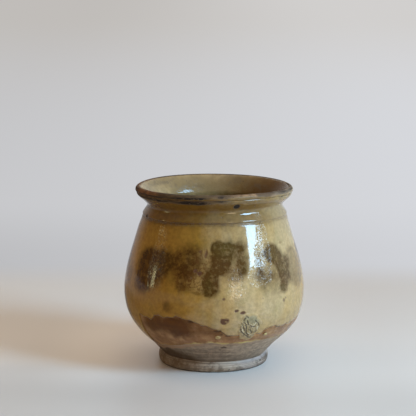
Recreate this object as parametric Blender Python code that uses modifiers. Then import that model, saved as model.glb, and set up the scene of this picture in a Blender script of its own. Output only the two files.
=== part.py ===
"""A small glazed confit pot: turned clay sections, a dipped slip coat, a glazed inside and kiln marks.

Metres, +Z up. The pot stands on Z = 0 with its turning axis on Z, and its front faces -Y.
An azimuth is measured in degrees from the front, positive towards +X.
"""

import math

import bmesh
import bpy
from mathutils import Vector

# Fits
SEAM_GAP = 0.0003  # between two clay sections, and between the clay and a coat
COAT_THICKNESS = 0.0005  # slip and glaze together

# Foot: a turned disc whose top is dished to seat the belly
FOOT_RADIUS = 0.0467  # widest point of its rounded edge
FOOT_HEIGHT = 0.0118  # up to the crease under the belly
FOOT_BULGE_RISE = 0.0052  # of its widest point
FOOT_LEDGE = 0.0021  # from the widest point in to the crease
FOOT_UNDERCUT = 0.0015  # from the widest point in to the standing edge
SEAT_DEPTH = 0.0050  # of the dish, below the crease
SEAT_BEVEL = 0.0046  # width of the dish's sloping edge
STANDING_RING = 0.0085  # width of the flat ring that the pot stands on
BASE_HOLLOW = 0.0015  # of the underside, inside the standing ring

# Belly: measured from the crease
BELLY_RADIUS = 0.0753
BELLY_RISE = 0.0500  # up to the widest level
BELLY_HEIGHT = 0.1142  # up to the shoulder, where the collar starts
BELLY_WALL = 0.0044
FLOOR_THICKNESS = 0.0052
FLOOR_FILLET = 0.0060  # between the floor and the wall inside
FOOT_FLARE_ANGLE = 54.0  # of the wall above the crease, from level
SHOULDER_LEAN = 13.8  # of the wall at the shoulder, from upright

# Collar: the band between the shoulder and the neck
COLLAR_HEIGHT = 0.0095
COLLAR_BEAD_RISE = 0.0023  # of the bead's widest level above the shoulder
COLLAR_BEAD = 0.0003  # how far the bead stands out from the crease below it
SHOULDER_STEP = 0.0009  # chamfer from the shoulder's edge in and up to that crease

# Neck and rim
NECK_RADIUS = 0.0565
NECK_WALL = 0.0032
SHOULDER_OVERHANG = 0.0040  # from the neck out to the shoulder's edge
RIM_HEIGHT = 0.0150  # from the neck up to the crest
RIM_OVERHANG = 0.0097  # from the neck out to the rim's edge
RIM_ROLL = 0.0025  # radius of the rolled edge
ROLL_UNDER_ANGLE = -80.0  # where the roll meets the flare below it, in degrees from level
ROLL_INNER_ANGLE = 150.0  # where the roll meets the slope inside the rim
RIM_BARE = 0.0007  # worn clay left between the roll and each coat

# How full the curves are: the reach of a curve's handles, as a share of its rise or run
LEDGE_RUN_PULL = 0.48
LEDGE_RISE_PULL = 0.12
BULGE_PULL = 0.50
STANDING_EDGE_PULL = 0.30
FOOT_FLARE_PULL = 0.145
BELLY_PULL_BELOW = 0.65
BELLY_PULL_ABOVE = 0.30
SHOULDER_PULL = 0.40
COLLAR_PULL = 0.40
BEAD_PULL = 0.45
NECK_PULL = 0.35
RIM_RUN_PULL = 0.50
RIM_RISE_PULL = 0.38
FILLET_PULL = 0.55

# The lower edge of the slip: azimuth in degrees, and height above the crease in metres
SLIP_EDGE = (
    (-172, 0.0250), (-146, 0.0190), (-122, 0.0225), (-98, 0.0150), (-78, 0.0125),
    (-63, 0.0115), (-56, 0.0376), (-51, 0.0366), (-45, 0.0358), (-38, 0.0407),
    (-32, 0.0400), (-24, 0.0423), (-15, 0.0395), (-6, 0.0348), (4, 0.0308),
    (10, 0.0259), (22, 0.0248), (34, 0.0252), (38, 0.0291), (45, 0.0296),
    (56, 0.0278), (78, 0.0300), (104, 0.0340), (132, 0.0280), (158, 0.0300),
)
SLIP_SKIRT = 0.0040  # cut away below the lowest point of the edge

# Kiln scar: a fused lump on the slip's edge, with curved ridges
SCAR_AZIMUTH = 23.7
SCAR_HEIGHT = 0.0347  # of its middle, above the crease
SCAR_WIDTH = 0.0180
SCAR_LENGTH = 0.0250
SCAR_RISE = 0.0012
SCAR_RIDGE_PITCH = 0.0038
SCAR_RIDGE_SHARE = 0.45  # of the rise that the ridges take up
SCAR_RIDGE_CENTRE = (0.0042, 0.0030)  # sideways and up from the scar's middle

# Drops of glaze on the bare clay: azimuth, height above the crease
GLAZE_DROPS = ((3.0, 0.0245), (38.3, 0.0236))
DROP_WIDTH = 0.0034
DROP_LENGTH = 0.0026
DROP_RISE = 0.0006

# Facets
TURN_STEPS = 36
SLIP_EDGE_STEPS = 108
MERGE_DISTANCE = 0.00001
FOOT_SEGMENTS = 4
BELLY_SEGMENTS = 8  # on each half of the belly's curve
ROLL_SEGMENTS = 7
FLARE_SEGMENTS = 4
COLLAR_SEGMENTS = 4
BEAD_SEGMENTS = 3
FILLET_SEGMENTS = 3
SCAR_FACETS = (28, 16)  # round its outline, and from its underside over its top
DROP_FACETS = (10, 6)

# Levels and radii that follow from the sizes above
CREASE_Z = FOOT_HEIGHT
SEAT_Z = CREASE_Z - SEAT_DEPTH
WIDEST_Z = CREASE_Z + BELLY_RISE
SHOULDER_Z = CREASE_Z + BELLY_HEIGHT
NECK_Z = SHOULDER_Z + COLLAR_HEIGHT
ROLL_Z = NECK_Z + RIM_HEIGHT - RIM_ROLL
FLOOR_Z = SEAT_Z + SEAM_GAP + FLOOR_THICKNESS
CREASE_RADIUS = FOOT_RADIUS - FOOT_LEDGE
SEAT_RADIUS = CREASE_RADIUS - SEAT_BEVEL
SHOULDER_RADIUS = NECK_RADIUS + SHOULDER_OVERHANG
ROLL_CENTRE = Vector((NECK_RADIUS + RIM_OVERHANG - RIM_ROLL, ROLL_Z))


def bezier(start, start_pull, end_pull, end, segments):
    """Points along a cubic curve, both ends included."""
    points = []
    for index in range(segments + 1):
        t = index / segments
        s = 1.0 - t
        points.append(start * s**3 + start_pull * (3 * s * s * t) + end_pull * (3 * s * t * t) + end * t**3)
    return points


def arc(centre, radius, start_angle, end_angle, segments):
    """Points along an arc, both ends included; angles in degrees from level."""
    points = []
    for index in range(segments + 1):
        angle = math.radians(start_angle + (end_angle - start_angle) * index / segments)
        points.append(centre + Vector((math.cos(angle), math.sin(angle))) * radius)
    return points


def offset_line(points, distance):
    """A line drawn top to bottom, shifted away from the axis by a distance, or towards it if negative."""
    shifted = []
    last = len(points) - 1
    for index, point in enumerate(points):
        arriving = (point - points[index - 1]).normalized() if index else None
        leaving = (points[index + 1] - point).normalized() if index < last else None
        along = ((arriving or leaving) + (leaving or arriving)).normalized()
        outward = Vector((-along.y, along.x))
        spread = along.dot(leaving or arriving)
        shifted.append(point + outward * (distance / spread))
    return shifted


def run_to_height(points, height):
    """A line drawn top to bottom, cut off at a height or run on straight to it."""
    kept = [points[0]]
    for point in points[1:-1]:
        if point.y <= height:
            break
        kept.append(point)
    above = kept[-1]
    below = points[len(kept)]
    share = (above.y - height) / (above.y - below.y)
    return kept + [above + (below - above) * share]


def radius_and_outward(line, height):
    """Radius of a line, drawn top to bottom, at a height, and its outward direction there."""
    for above, below in zip(line, line[1:]):
        if below.y <= height:
            break
    along = (below - above).normalized()
    share = (above.y - height) / (above.y - below.y)
    return above.lerp(below, share).x, Vector((-along.y, along.x))


def round_corner(before, corner, after, radius, segments):
    """A curve that replaces a corner, starting and ending a radius away from it."""
    start = corner + (before - corner).normalized() * radius
    end = corner + (after - corner).normalized() * radius
    return bezier(start, start.lerp(corner, FILLET_PULL), end.lerp(corner, FILLET_PULL), end, segments)


def flare_line(top, bottom):
    """The rim's sweep from its roll down to the upright neck."""
    reach = top - bottom
    start_pull = top - Vector((reach.x * RIM_RUN_PULL, reach.y * RIM_RISE_PULL))
    end_pull = bottom + Vector((0.0, reach.y * NECK_PULL))
    return bezier(top, start_pull, end_pull, bottom, FLARE_SEGMENTS)


def rim_roll():
    """The rolled edge, from its inner side over the crest to its underside."""
    return arc(ROLL_CENTRE, RIM_ROLL, ROLL_INNER_ANGLE, ROLL_UNDER_ANGLE, ROLL_SEGMENTS)


def rim_outside():
    """From the underside of the roll to the neck."""
    return flare_line(rim_roll()[-1], Vector((NECK_RADIUS, NECK_Z)))


def rim_inside():
    """From the inner side of the roll down to the neck."""
    return flare_line(rim_roll()[0], Vector((NECK_RADIUS - NECK_WALL, NECK_Z)))


def collar_outside():
    """From the neck over the bead to the crease at the shoulder."""
    neck = Vector((NECK_RADIUS, NECK_Z))
    crease = Vector((SHOULDER_RADIUS - SHOULDER_STEP, SHOULDER_Z))
    bead = crease + Vector((COLLAR_BEAD, COLLAR_BEAD_RISE))
    sweep = Vector((0.0, (neck.y - bead.y) * COLLAR_PULL))
    curl = Vector((0.0, COLLAR_BEAD_RISE * BEAD_PULL))
    upper = bezier(neck, neck - sweep, bead + sweep, bead, COLLAR_SEGMENTS)
    lower = bezier(bead, bead - curl, crease + curl, crease, BEAD_SEGMENTS)
    return upper + lower[1:]


def belly_curve():
    """From the shoulder's edge over the widest level to the crease above the foot."""
    shoulder = Vector((SHOULDER_RADIUS, SHOULDER_Z - SHOULDER_STEP))
    widest = Vector((BELLY_RADIUS, WIDEST_Z))
    crease = Vector((CREASE_RADIUS, CREASE_Z + SEAM_GAP))
    upper_rise = shoulder.y - widest.y
    lower_rise = widest.y - crease.y
    lean = math.radians(SHOULDER_LEAN)
    flare = math.radians(FOOT_FLARE_ANGLE)
    shoulder_pull = shoulder + Vector((math.sin(lean), -math.cos(lean))) * (upper_rise * SHOULDER_PULL)
    crease_pull = crease + Vector((math.cos(flare), math.sin(flare))) * (lower_rise * FOOT_FLARE_PULL)
    above = widest + Vector((0.0, upper_rise * BELLY_PULL_ABOVE))
    below = widest - Vector((0.0, lower_rise * BELLY_PULL_BELOW))
    upper = bezier(shoulder, shoulder_pull, above, widest, BELLY_SEGMENTS)
    lower = bezier(widest, below, crease_pull, crease, BELLY_SEGMENTS)
    return upper + lower[1:]


def belly_outside():
    """The belly's curve with the chamfer up to the crease under the collar."""
    return [collar_outside()[-1]] + belly_curve()


def belly_inside():
    """From the shoulder down the inside of the wall, round the fillet and in to the axis."""
    centre = Vector((0.0, FLOOR_Z))
    wall = run_to_height(offset_line(belly_curve(), -BELLY_WALL), FLOOR_Z)
    corner = wall[-1]
    while len(wall) > 2 and (wall[-1] - corner).length <= FLOOR_FILLET:
        wall.pop()
    fillet = round_corner(wall[-1], corner, centre, FLOOR_FILLET, FILLET_SEGMENTS)
    return wall + fillet + [centre]


def collar_inside():
    """From the neck down to the inside of the shoulder."""
    neck = Vector((NECK_RADIUS - NECK_WALL, NECK_Z))
    shoulder = offset_line(belly_curve(), -BELLY_WALL)[0]
    lean = math.radians(SHOULDER_LEAN)
    drop = neck.y - shoulder.y
    neck_pull = neck - Vector((0.0, drop * NECK_PULL))
    shoulder_pull = shoulder + Vector((-math.sin(lean), math.cos(lean))) * (drop * NECK_PULL)
    return bezier(neck, neck_pull, shoulder_pull, shoulder, COLLAR_SEGMENTS)


def coated_outside():
    """The clay's line under the slip coat: from below the roll to just under the slip's lowest point."""
    lowest = CREASE_Z + min(height for azimuth, height in SLIP_EDGE) - SLIP_SKIRT
    line = rim_outside() + collar_outside()[1:] + belly_outside()[1:]
    return [bared_start(line)] + run_to_height(line, lowest)[1:]


def coated_inside():
    """The clay's line under the inside glaze: from below the roll to the axis."""
    line = rim_inside() + collar_inside()[1:] + belly_inside()[1:]
    return [bared_start(line)] + line[1:]


def bared_start(line):
    """The first point of a coated line, moved down it so that worn clay shows next to the roll."""
    bare = SEAM_GAP + RIM_BARE
    return line[0] + (line[1] - line[0]).normalized() * bare


def new_collection(name):
    collection = bpy.data.collections.new(name)
    bpy.context.scene.collection.children.link(collection)
    return collection


def new_material(name, colour, roughness):
    material = bpy.data.materials.new(name)
    material.use_nodes = True
    shader = material.node_tree.nodes["Principled BSDF"]
    shader.inputs["Base Color"].default_value = (*colour, 1.0)
    shader.inputs["Roughness"].default_value = roughness
    shader.inputs["Metallic"].default_value = 0.0
    return material


def turned(name, outline, collection, closed=True, steps=TURN_STEPS):
    """A turned solid: an outline at +X, drawn down its outer side first, on a Screw modifier."""
    mesh = bpy.data.meshes.new(name)
    count = len(outline)
    edges = [(index, index + 1) for index in range(count - 1)]
    if closed:
        edges.append((count - 1, 0))
    mesh.from_pydata([(point.x, 0.0, point.y) for point in outline], edges, [])
    piece = bpy.data.objects.new(name, mesh)
    collection.objects.link(piece)
    screw = piece.modifiers.new("turn", "SCREW")
    screw.axis = "Z"
    screw.angle = math.tau
    screw.steps = steps
    screw.render_steps = steps
    screw.use_merge_vertices = True
    screw.merge_threshold = MERGE_DISTANCE
    screw.use_smooth_shade = True
    return piece


def foot_solid(collection):
    """A disc with a rounded edge, a dished top and a shallow hollow underneath."""
    crease = Vector((CREASE_RADIUS, CREASE_Z))
    widest = Vector((FOOT_RADIUS, FOOT_BULGE_RISE))
    edge = Vector((FOOT_RADIUS - FOOT_UNDERCUT, 0.0))
    above = Vector((0.0, crease.y - widest.y))
    below = Vector((0.0, widest.y))
    ledge_pull = crease + Vector((FOOT_LEDGE * LEDGE_RUN_PULL, 0.0)) - above * LEDGE_RISE_PULL
    edge_pull = edge + Vector((FOOT_UNDERCUT, widest.y)) * STANDING_EDGE_PULL
    upper = bezier(crease, ledge_pull, widest + above * BULGE_PULL, widest, FOOT_SEGMENTS)
    lower = bezier(widest, widest - below * STANDING_EDGE_PULL, edge_pull, edge, FOOT_SEGMENTS)
    ring_inner = Vector((edge.x - STANDING_RING, 0.0))
    hollow_edge = ring_inner + Vector((-BASE_HOLLOW, BASE_HOLLOW))
    dish = [Vector((0.0, SEAT_Z)), Vector((SEAT_RADIUS, SEAT_Z))]
    underside = [ring_inner, hollow_edge, Vector((0.0, BASE_HOLLOW))]
    return turned("foot", dish + upper + lower[1:] + underside, collection, closed=False)


def belly_solid(collection):
    """A round bowl whose bottom seats in the foot's dish."""
    outside = belly_outside()
    inside = belly_inside()
    dish = [Vector((CREASE_RADIUS, CREASE_Z)), Vector((SEAT_RADIUS, SEAT_Z)), Vector((0.0, SEAT_Z))]
    seat = offset_line(dish, -SEAM_GAP)
    outline = list(reversed(inside)) + outside + seat[1:]
    return turned("belly", outline, collection, closed=False)


def collar_solid(collection):
    """A ring with a bead over the shoulder, drawn in to the neck."""
    outside = collar_outside()
    inside = collar_inside()
    lift = Vector((0.0, SEAM_GAP))
    outside[-1] = outside[-1] + lift
    inside[-1] = inside[-1] + lift
    return turned("collar", outside + list(reversed(inside)), collection)


def rim_solid(collection):
    """A flared lip with a rolled edge."""
    roll = rim_roll()
    outside = rim_outside()
    inside = rim_inside()
    lift = Vector((0.0, SEAM_GAP))
    outside[-1] = outside[-1] + lift
    inside[-1] = inside[-1] + lift
    return turned("rim", roll + outside[1:] + list(reversed(inside[1:])), collection)


def slip_edge_height(azimuth):
    """Height of the slip's lower edge at an azimuth, eased between the points of its list."""
    first_angle, first_height = SLIP_EDGE[0]
    points = [*SLIP_EDGE, (first_angle + 360.0, first_height)]
    angle = first_angle + (azimuth - first_angle) % 360.0
    for (angle_a, height_a), (angle_b, height_b) in zip(points, points[1:]):
        if angle <= angle_b:
            break
    share = (angle - angle_a) / (angle_b - angle_a)
    eased = share * share * (3.0 - 2.0 * share)
    return CREASE_Z + height_a + (height_b - height_a) * eased


def slip_edge_cutter(collection):
    """A ring round the lower belly whose top follows the slip's edge."""
    outer = BELLY_RADIUS + BELLY_WALL
    inner = CREASE_RADIUS
    top = WIDEST_Z
    outline = [Vector((outer, top)), Vector((outer, 0.0)), Vector((inner, 0.0)), Vector((inner, top))]
    ring = turned("slip_edge_cutter", outline, collection, steps=SLIP_EDGE_STEPS)
    bpy.context.view_layer.update()
    evaluated = ring.evaluated_get(bpy.context.evaluated_depsgraph_get())
    ring_mesh = bpy.data.meshes.new_from_object(evaluated)
    ring.modifiers.clear()
    ring.data = ring_mesh
    for vertex in ring_mesh.vertices:
        if vertex.co.z > 0.0:
            azimuth = math.degrees(math.atan2(vertex.co.x, -vertex.co.y))
            vertex.co.z = slip_edge_height(azimuth)
    ring.hide_render = True
    ring.display_type = "WIRE"
    return ring


def outer_coat_solid(collection, cutters):
    """The slip coat with its glaze, hung over the collar and ending in a wavy lower edge."""
    clay = coated_outside()
    outside = offset_line(clay, SEAM_GAP + COAT_THICKNESS)
    inside = offset_line(clay, SEAM_GAP)
    coat = turned("outer_glaze", outside + list(reversed(inside)), collection)
    cut = coat.modifiers.new("slip_edge", "BOOLEAN")
    cut.operation = "DIFFERENCE"
    cut.solver = "EXACT"
    cut.object = slip_edge_cutter(cutters)
    return coat


def inner_coat_solid(collection):
    """The glaze that lines the inside from the rim to the floor."""
    clay = coated_inside()
    against_clay = offset_line(clay, -SEAM_GAP)
    towards_air = offset_line(clay, -SEAM_GAP - COAT_THICKNESS)
    against_clay[-1].x = 0.0
    towards_air[-1].x = 0.0
    return turned("inner_glaze", list(reversed(towards_air)) + against_clay, collection, closed=False)


def wall_patch(mesh_builder, line, azimuth, height, size, rise_at, facets):
    """Add a low lump to a mesh: a ball pressed onto a turned wall, flat underneath, a seam off the wall."""
    width, length = size
    round_facets, tall_facets = facets
    ball = bmesh.ops.create_uvsphere(
        mesh_builder, u_segments=round_facets, v_segments=tall_facets, radius=1.0
    )
    for vertex in ball["verts"]:
        sideways = vertex.co.x * width / 2
        upward = vertex.co.y * length / 2
        lift = max(vertex.co.z, 0.0) * rise_at(sideways, upward)
        radius, outward = radius_and_outward(line, height + upward)
        angle = math.radians(azimuth) + sideways / radius
        place = Vector((radius, height + upward)) + outward * (SEAM_GAP + lift)
        vertex.co = (place.x * math.sin(angle), -place.x * math.cos(angle), place.y)


def patch_object(name, mesh_builder, collection):
    mesh = bpy.data.meshes.new(name)
    mesh_builder.to_mesh(mesh)
    mesh_builder.free()
    mesh.shade_smooth()
    piece = bpy.data.objects.new(name, mesh)
    collection.objects.link(piece)
    return piece


def scar_rise(sideways, upward):
    """Height of the scar's surface: curved ridges round a point to the right of its middle."""
    from_centre = math.hypot(sideways - SCAR_RIDGE_CENTRE[0], upward - SCAR_RIDGE_CENTRE[1])
    ridge = 0.5 + 0.5 * math.cos(math.tau * from_centre / SCAR_RIDGE_PITCH)
    return SCAR_RISE * (1.0 - SCAR_RIDGE_SHARE + SCAR_RIDGE_SHARE * ridge)


def scar_solid(collection):
    """The kiln scar, seated on the slip coat."""
    coat = offset_line(coated_outside(), SEAM_GAP + COAT_THICKNESS)
    scar = bmesh.new()
    size = (SCAR_WIDTH, SCAR_LENGTH)
    wall_patch(scar, coat, SCAR_AZIMUTH, CREASE_Z + SCAR_HEIGHT, size, scar_rise, SCAR_FACETS)
    return patch_object("kiln_scar", scar, collection)


def drop_rise(sideways, upward):
    """Height of a drop's surface, the same all over."""
    return DROP_RISE


def drop_solids(collection):
    """The drops of glaze, seated on the bare clay below the slip."""
    clay = belly_outside()
    solids = []
    for number, (azimuth, height) in enumerate(GLAZE_DROPS, start=1):
        drop = bmesh.new()
        size = (DROP_WIDTH, DROP_LENGTH)
        wall_patch(drop, clay, azimuth, CREASE_Z + height, size, drop_rise, DROP_FACETS)
        solids.append(patch_object(f"glaze_drop_{number}", drop, collection))
    return solids


def main():
    for old in list(bpy.data.objects):
        bpy.data.objects.remove(old, do_unlink=True)
    parts = new_collection("confit_pot")
    cutters = new_collection("cutters")
    bare_clay = (0.235, 0.170, 0.130)
    drop_finish = ((0.500, 0.400, 0.190), 0.20)
    finishes = [
        (foot_solid(parts), (0.300, 0.245, 0.200), 0.75),
        (belly_solid(parts), bare_clay, 0.55),
        (collar_solid(parts), bare_clay, 0.60),
        (rim_solid(parts), (0.185, 0.105, 0.060), 0.55),
        (outer_coat_solid(parts, cutters), (0.420, 0.315, 0.120), 0.16),
        (inner_coat_solid(parts), (0.390, 0.310, 0.150), 0.20),
        (scar_solid(parts), (0.300, 0.245, 0.130), 0.25),
    ]
    finishes += [(drop, *drop_finish) for drop in drop_solids(parts)]
    for piece, colour, roughness in finishes:
        piece.data.materials.append(new_material(piece.name + "_finish", colour, roughness))


main()
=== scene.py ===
"""The looks of a small confit pot: its clay, slip, glaze, brush dabs and kiln marks.

Metres, +Z up, the front towards -Y. An azimuth is in degrees from the front, positive towards +X.
"""

import bisect
import math

import bmesh
import bpy
from mathutils import Matrix, Vector, noise
from mathutils.geometry import interpolate_bezier, intersect_point_line


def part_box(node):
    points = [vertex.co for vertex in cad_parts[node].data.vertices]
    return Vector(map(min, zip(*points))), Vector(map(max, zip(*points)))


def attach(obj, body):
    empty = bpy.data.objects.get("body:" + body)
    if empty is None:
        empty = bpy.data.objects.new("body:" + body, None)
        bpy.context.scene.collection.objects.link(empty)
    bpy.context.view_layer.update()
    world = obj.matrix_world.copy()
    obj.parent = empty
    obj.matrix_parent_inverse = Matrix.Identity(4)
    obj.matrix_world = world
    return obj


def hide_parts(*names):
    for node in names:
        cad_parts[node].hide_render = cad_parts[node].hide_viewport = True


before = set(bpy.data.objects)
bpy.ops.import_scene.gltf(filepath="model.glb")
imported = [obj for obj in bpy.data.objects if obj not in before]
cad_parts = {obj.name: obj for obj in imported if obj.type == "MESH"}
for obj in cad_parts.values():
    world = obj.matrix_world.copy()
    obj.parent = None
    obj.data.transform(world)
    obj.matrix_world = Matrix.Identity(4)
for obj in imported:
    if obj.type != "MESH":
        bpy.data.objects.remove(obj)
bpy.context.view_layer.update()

MM = 0.001

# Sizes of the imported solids
FOOT_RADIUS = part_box("foot")[1].x
CREASE_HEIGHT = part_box("foot")[1].z
POT_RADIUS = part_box("outer_glaze")[1].x
SHOULDER_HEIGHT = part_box("belly")[1].z
POT_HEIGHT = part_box("rim")[1].z
RIM_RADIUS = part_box("rim")[1].x

# Outlines, as shares of the pot's radius and height
OUTER_LINE = (
    (0.8568, 0.9698), (0.8552, 0.9631), (0.8492, 0.9548), (0.8312, 0.9435), (0.8052, 0.9316),
    (0.7752, 0.9169), (0.7556, 0.9076), (0.7529, 0.8997), (0.7537, 0.8944), (0.7552, 0.8904), (0.7573, 0.887),
    (0.7606, 0.8837), (0.7653, 0.8797), (0.774, 0.8731), (0.7842, 0.8651), (0.793, 0.8585), (0.7994, 0.8535),
    (0.8016, 0.8512), (0.8026, 0.8488), (0.8026, 0.8462), (0.8006, 0.8435), (0.795, 0.8399), (0.7956, 0.8366),
    (0.8019, 0.834), (0.8075, 0.8299), (0.8131, 0.8199), (0.8328, 0.7854), (0.8531, 0.7508), (0.8738, 0.7156),
    (0.8943, 0.6811), (0.9146, 0.6465), (0.9338, 0.6126), (0.9519, 0.5781), (0.9679, 0.5442),
    (0.9816, 0.5106), (0.9921, 0.4771), (0.9984, 0.4439), (1, 0.4113), (0.998, 0.3787), (0.9896, 0.3465),
    (0.9745, 0.315), (0.9518, 0.2834), (0.9205, 0.2518), (0.8799, 0.2206), (0.8285, 0.1887), (0.7648, 0.1561),
    (0.6873, 0.1223), (0.6281, 0.0927), (0.6117, 0.085), (0.6038, 0.0814), (0.5995, 0.0781),
)
INNER_LINE = (
    (0.8175, 0.9974), (0.806, 0.995), (0.7921, 0.989), (0.7607, 0.9706), (0.7255, 0.948), (0.6991, 0.9262),
    (0.6886, 0.9163), (0.684, 0.9103), (0.6827, 0.905), (0.6829, 0.897), (0.692, 0.8797), (0.704, 0.8602),
    (0.7177, 0.8413), (0.7289, 0.8223), (0.7603, 0.7622), (0.7933, 0.7045), (0.8259, 0.6498),
    (0.8562, 0.5977), (0.8824, 0.5479), (0.903, 0.5004), (0.9163, 0.4548), (0.921, 0.4115), (0.9072, 0.3436),
    (0.8714, 0.2878), (0.8197, 0.2415), (0.7582, 0.2029), (0.6928, 0.1712), (0.6297, 0.145), (0.5741, 0.1229),
    (0.5557, 0.1138), (0.5181, 0.1003), (0.4719, 0.0907), (0.4264, 0.087), (0, 0.087),
)
# The foot's outline, as shares of its own radius and height
FOOT_EDGE = (
    (0.9572, 1.0254), (0.9647, 0.9831), (0.9722, 0.9237), (0.9829, 0.839), (0.9925, 0.7119), (0.9979, 0.5593),
    (1, 0.4068), (0.9946, 0.2542), (0.9829, 0.1017), (0.9679, 0.0212), (0.9507, 0),
)
UNDERSIDE = ((0.788, 0), (0.7559, 0.1271), (0, 0.1271))
ROLL_RADIUS = 2.5 * MM
COAT_THICKNESS = 0.6 * MM
SEAM = 0.05 * MM

# The slip's lower edge and the line where the clear glaze ends: azimuth, height in millimetres
SLIP_EDGE = (
    (-172, 36.8), (-146, 30.8), (-122, 34.3), (-98, 26.8), (-78, 24.3), (-64, 22.5), (-59.5, 24.5),
    (-56.5, 40), (-55.5, 49.6), (-51, 48.4), (-45, 47.6), (-40.5, 50.8), (-37.6, 52.5), (-32, 51.8),
    (-27.5, 52.2), (-24, 54.1), (-21, 53.1), (-17, 51.1), (-14.6, 51.3), (-10.7, 48.8), (-6, 46.6),
    (-1, 44.5), (4, 42.6), (6.4, 39.5), (9.7, 37.7), (16, 36.8), (34, 36.8), (36.6, 40.9), (43, 41.4),
    (52.6, 39.6), (58.6, 39.7), (78, 41.8), (104, 45.8), (132, 39.8), (158, 41.8),
)
GLAZE_END = (
    (-170, 26), (-140, 23.5), (-110, 24), (-80, 20.5), (-53, 21.5), (-41.6, 23.3), (-30, 25.2), (-21, 27.2),
    (-12, 29.2), (-2.7, 30.5), (7, 29.1), (16.5, 29.3), (29.6, 29.5), (41, 29.1), (60.6, 28), (90, 27),
    (125, 29.5), (155, 27),
)


def outline(shares, radius, height):
    """The corners of a line, from shares of a radius and a height."""
    return [Vector((share_out * radius, share_up * height)) for share_out, share_up in shares]


def smooth_line(corners, step):
    """Points about a step apart on a smooth line through its corners."""
    ends = [2 * corners[0] - corners[1], *corners, 2 * corners[-1] - corners[-2]]
    line = []
    for before, start, end, after in zip(ends, ends[1:], ends[2:], ends[3:]):
        reach = (end - start).length / 3
        start_handle = start + (end - before).normalized() * reach
        end_handle = end - (after - start).normalized() * reach
        pieces = max(1, round((end - start).length / step))
        line += interpolate_bezier(start, start_handle, end_handle, end, pieces + 1)[:-1]
    return line + [corners[-1]]


def shifted_line(line, distance):
    """A line drawn top to bottom, moved away from the axis by a distance, or towards it if negative."""
    moved = []
    for index, point in enumerate(line):
        before = line[max(index - 1, 0)]
        after = line[min(index + 1, len(line) - 1)]
        along = (after - before).normalized()
        moved.append(point + Vector((-along.y, along.x)) * distance)
    return moved


def eased(low, high, value):
    """0 below low, 1 above high, and a smooth step between them."""
    share = min(max((value - low) / (high - low), 0.0), 1.0)
    return share * share * (3.0 - 2.0 * share)


def ring_height(points, azimuth):
    """Height of a line round the pot at an azimuth, eased between its points."""
    first_azimuth, first_height = points[0]
    around = [*points, (first_azimuth + 360.0, first_height)]
    angle = first_azimuth + (azimuth - first_azimuth) % 360.0
    for (angle_a, height_a), (angle_b, height_b) in zip(around, around[1:]):
        if angle <= angle_b:
            break
    return (height_a + (height_b - height_a) * eased(angle_a, angle_b, angle)) * MM


def azimuth_of(place):
    return math.degrees(math.atan2(place.x, -place.y))


def ring_wander(azimuth, bends, seed):
    """A smooth random number for an azimuth, with a count of bends in a turn."""
    angle = math.radians(azimuth)
    reach = bends / math.tau
    return noise.noise(Vector((math.cos(angle) * reach, math.sin(angle) * reach, seed)))


# How the pot strays from a true turned shape
RIM_LEAN = 0.0040
OVAL = 0.25 * MM
OVAL_TURN = 40.0
SIDE_SWELL = 1.1 * MM
LOW_SWELL = 2.7 * MM
SIDE_WAIST = 0.9 * MM
LUMP_RISE = 0.28 * MM
LUMPS_PER_METRE = 28.0
RING_RISE = 0.05 * MM
RINGS_PER_METRE = 210.0
RING_DRIFT = 9.0
# Azimuth, and millimetres that collar and rim stand above a level ring there, or the foot's ledge below
COLLAR_RISE = ((-180, -0.5), (-135, -0.3), (-90, 0.3), (-45, 1), (0, 2.4), (45, 2), (90, 0.5), (135, 0))
RIM_RISE = (
    (-180, 0.1), (-135, 0.3), (-90, 0), (-60, 1.2), (-30, 1.9), (0, 2.5), (30, 2.6), (50, 2), (70, 0.9),
    (90, 0.2), (135, 0.3),
)
LEDGE_DIP = ((-180, 0.6), (-90, 0.4), (-60, 2), (0, 2.6), (35, 3.1), (60, 3.2), (90, 0.8), (135, 1.2))
# Between which azimuths, to the right for a swell and to the left for a waist, a side begins and ends
SIDE_START = (50.0, 92.0)
SIDE_END = (165.0, 108.0)
# Between which heights or radii a stray form begins and ends
STEADY_HEIGHT = (0.0, SHOULDER_HEIGHT * 0.3)
STEADY_RADIUS = (0.0, POT_RADIUS * 0.5)
SWELL_START = (34.0 * MM, 54.0 * MM)
LOW_SWELL_START = (14.0 * MM, 30.0 * MM)
LOW_SWELL_END = (50.0 * MM, 36.0 * MM)
WAIST_START = (116.0 * MM, 126.0 * MM)
WAIST_END = (145.0 * MM, 140.0 * MM)
LEAN_START = (SHOULDER_HEIGHT * 0.85, POT_HEIGHT)
COLLAR_START = (SHOULDER_HEIGHT * 0.76, SHOULDER_HEIGHT)
RIM_START = (SHOULDER_HEIGHT * 1.04, POT_HEIGHT * 0.97)
LEDGE_START = (0.0, CREASE_HEIGHT * 0.8)
LEDGE_END = (CREASE_HEIGHT * 2.3, CREASE_HEIGHT)
LEDGE_RADIUS = (FOOT_RADIUS * 0.78, FOOT_RADIUS * 0.92)


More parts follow.
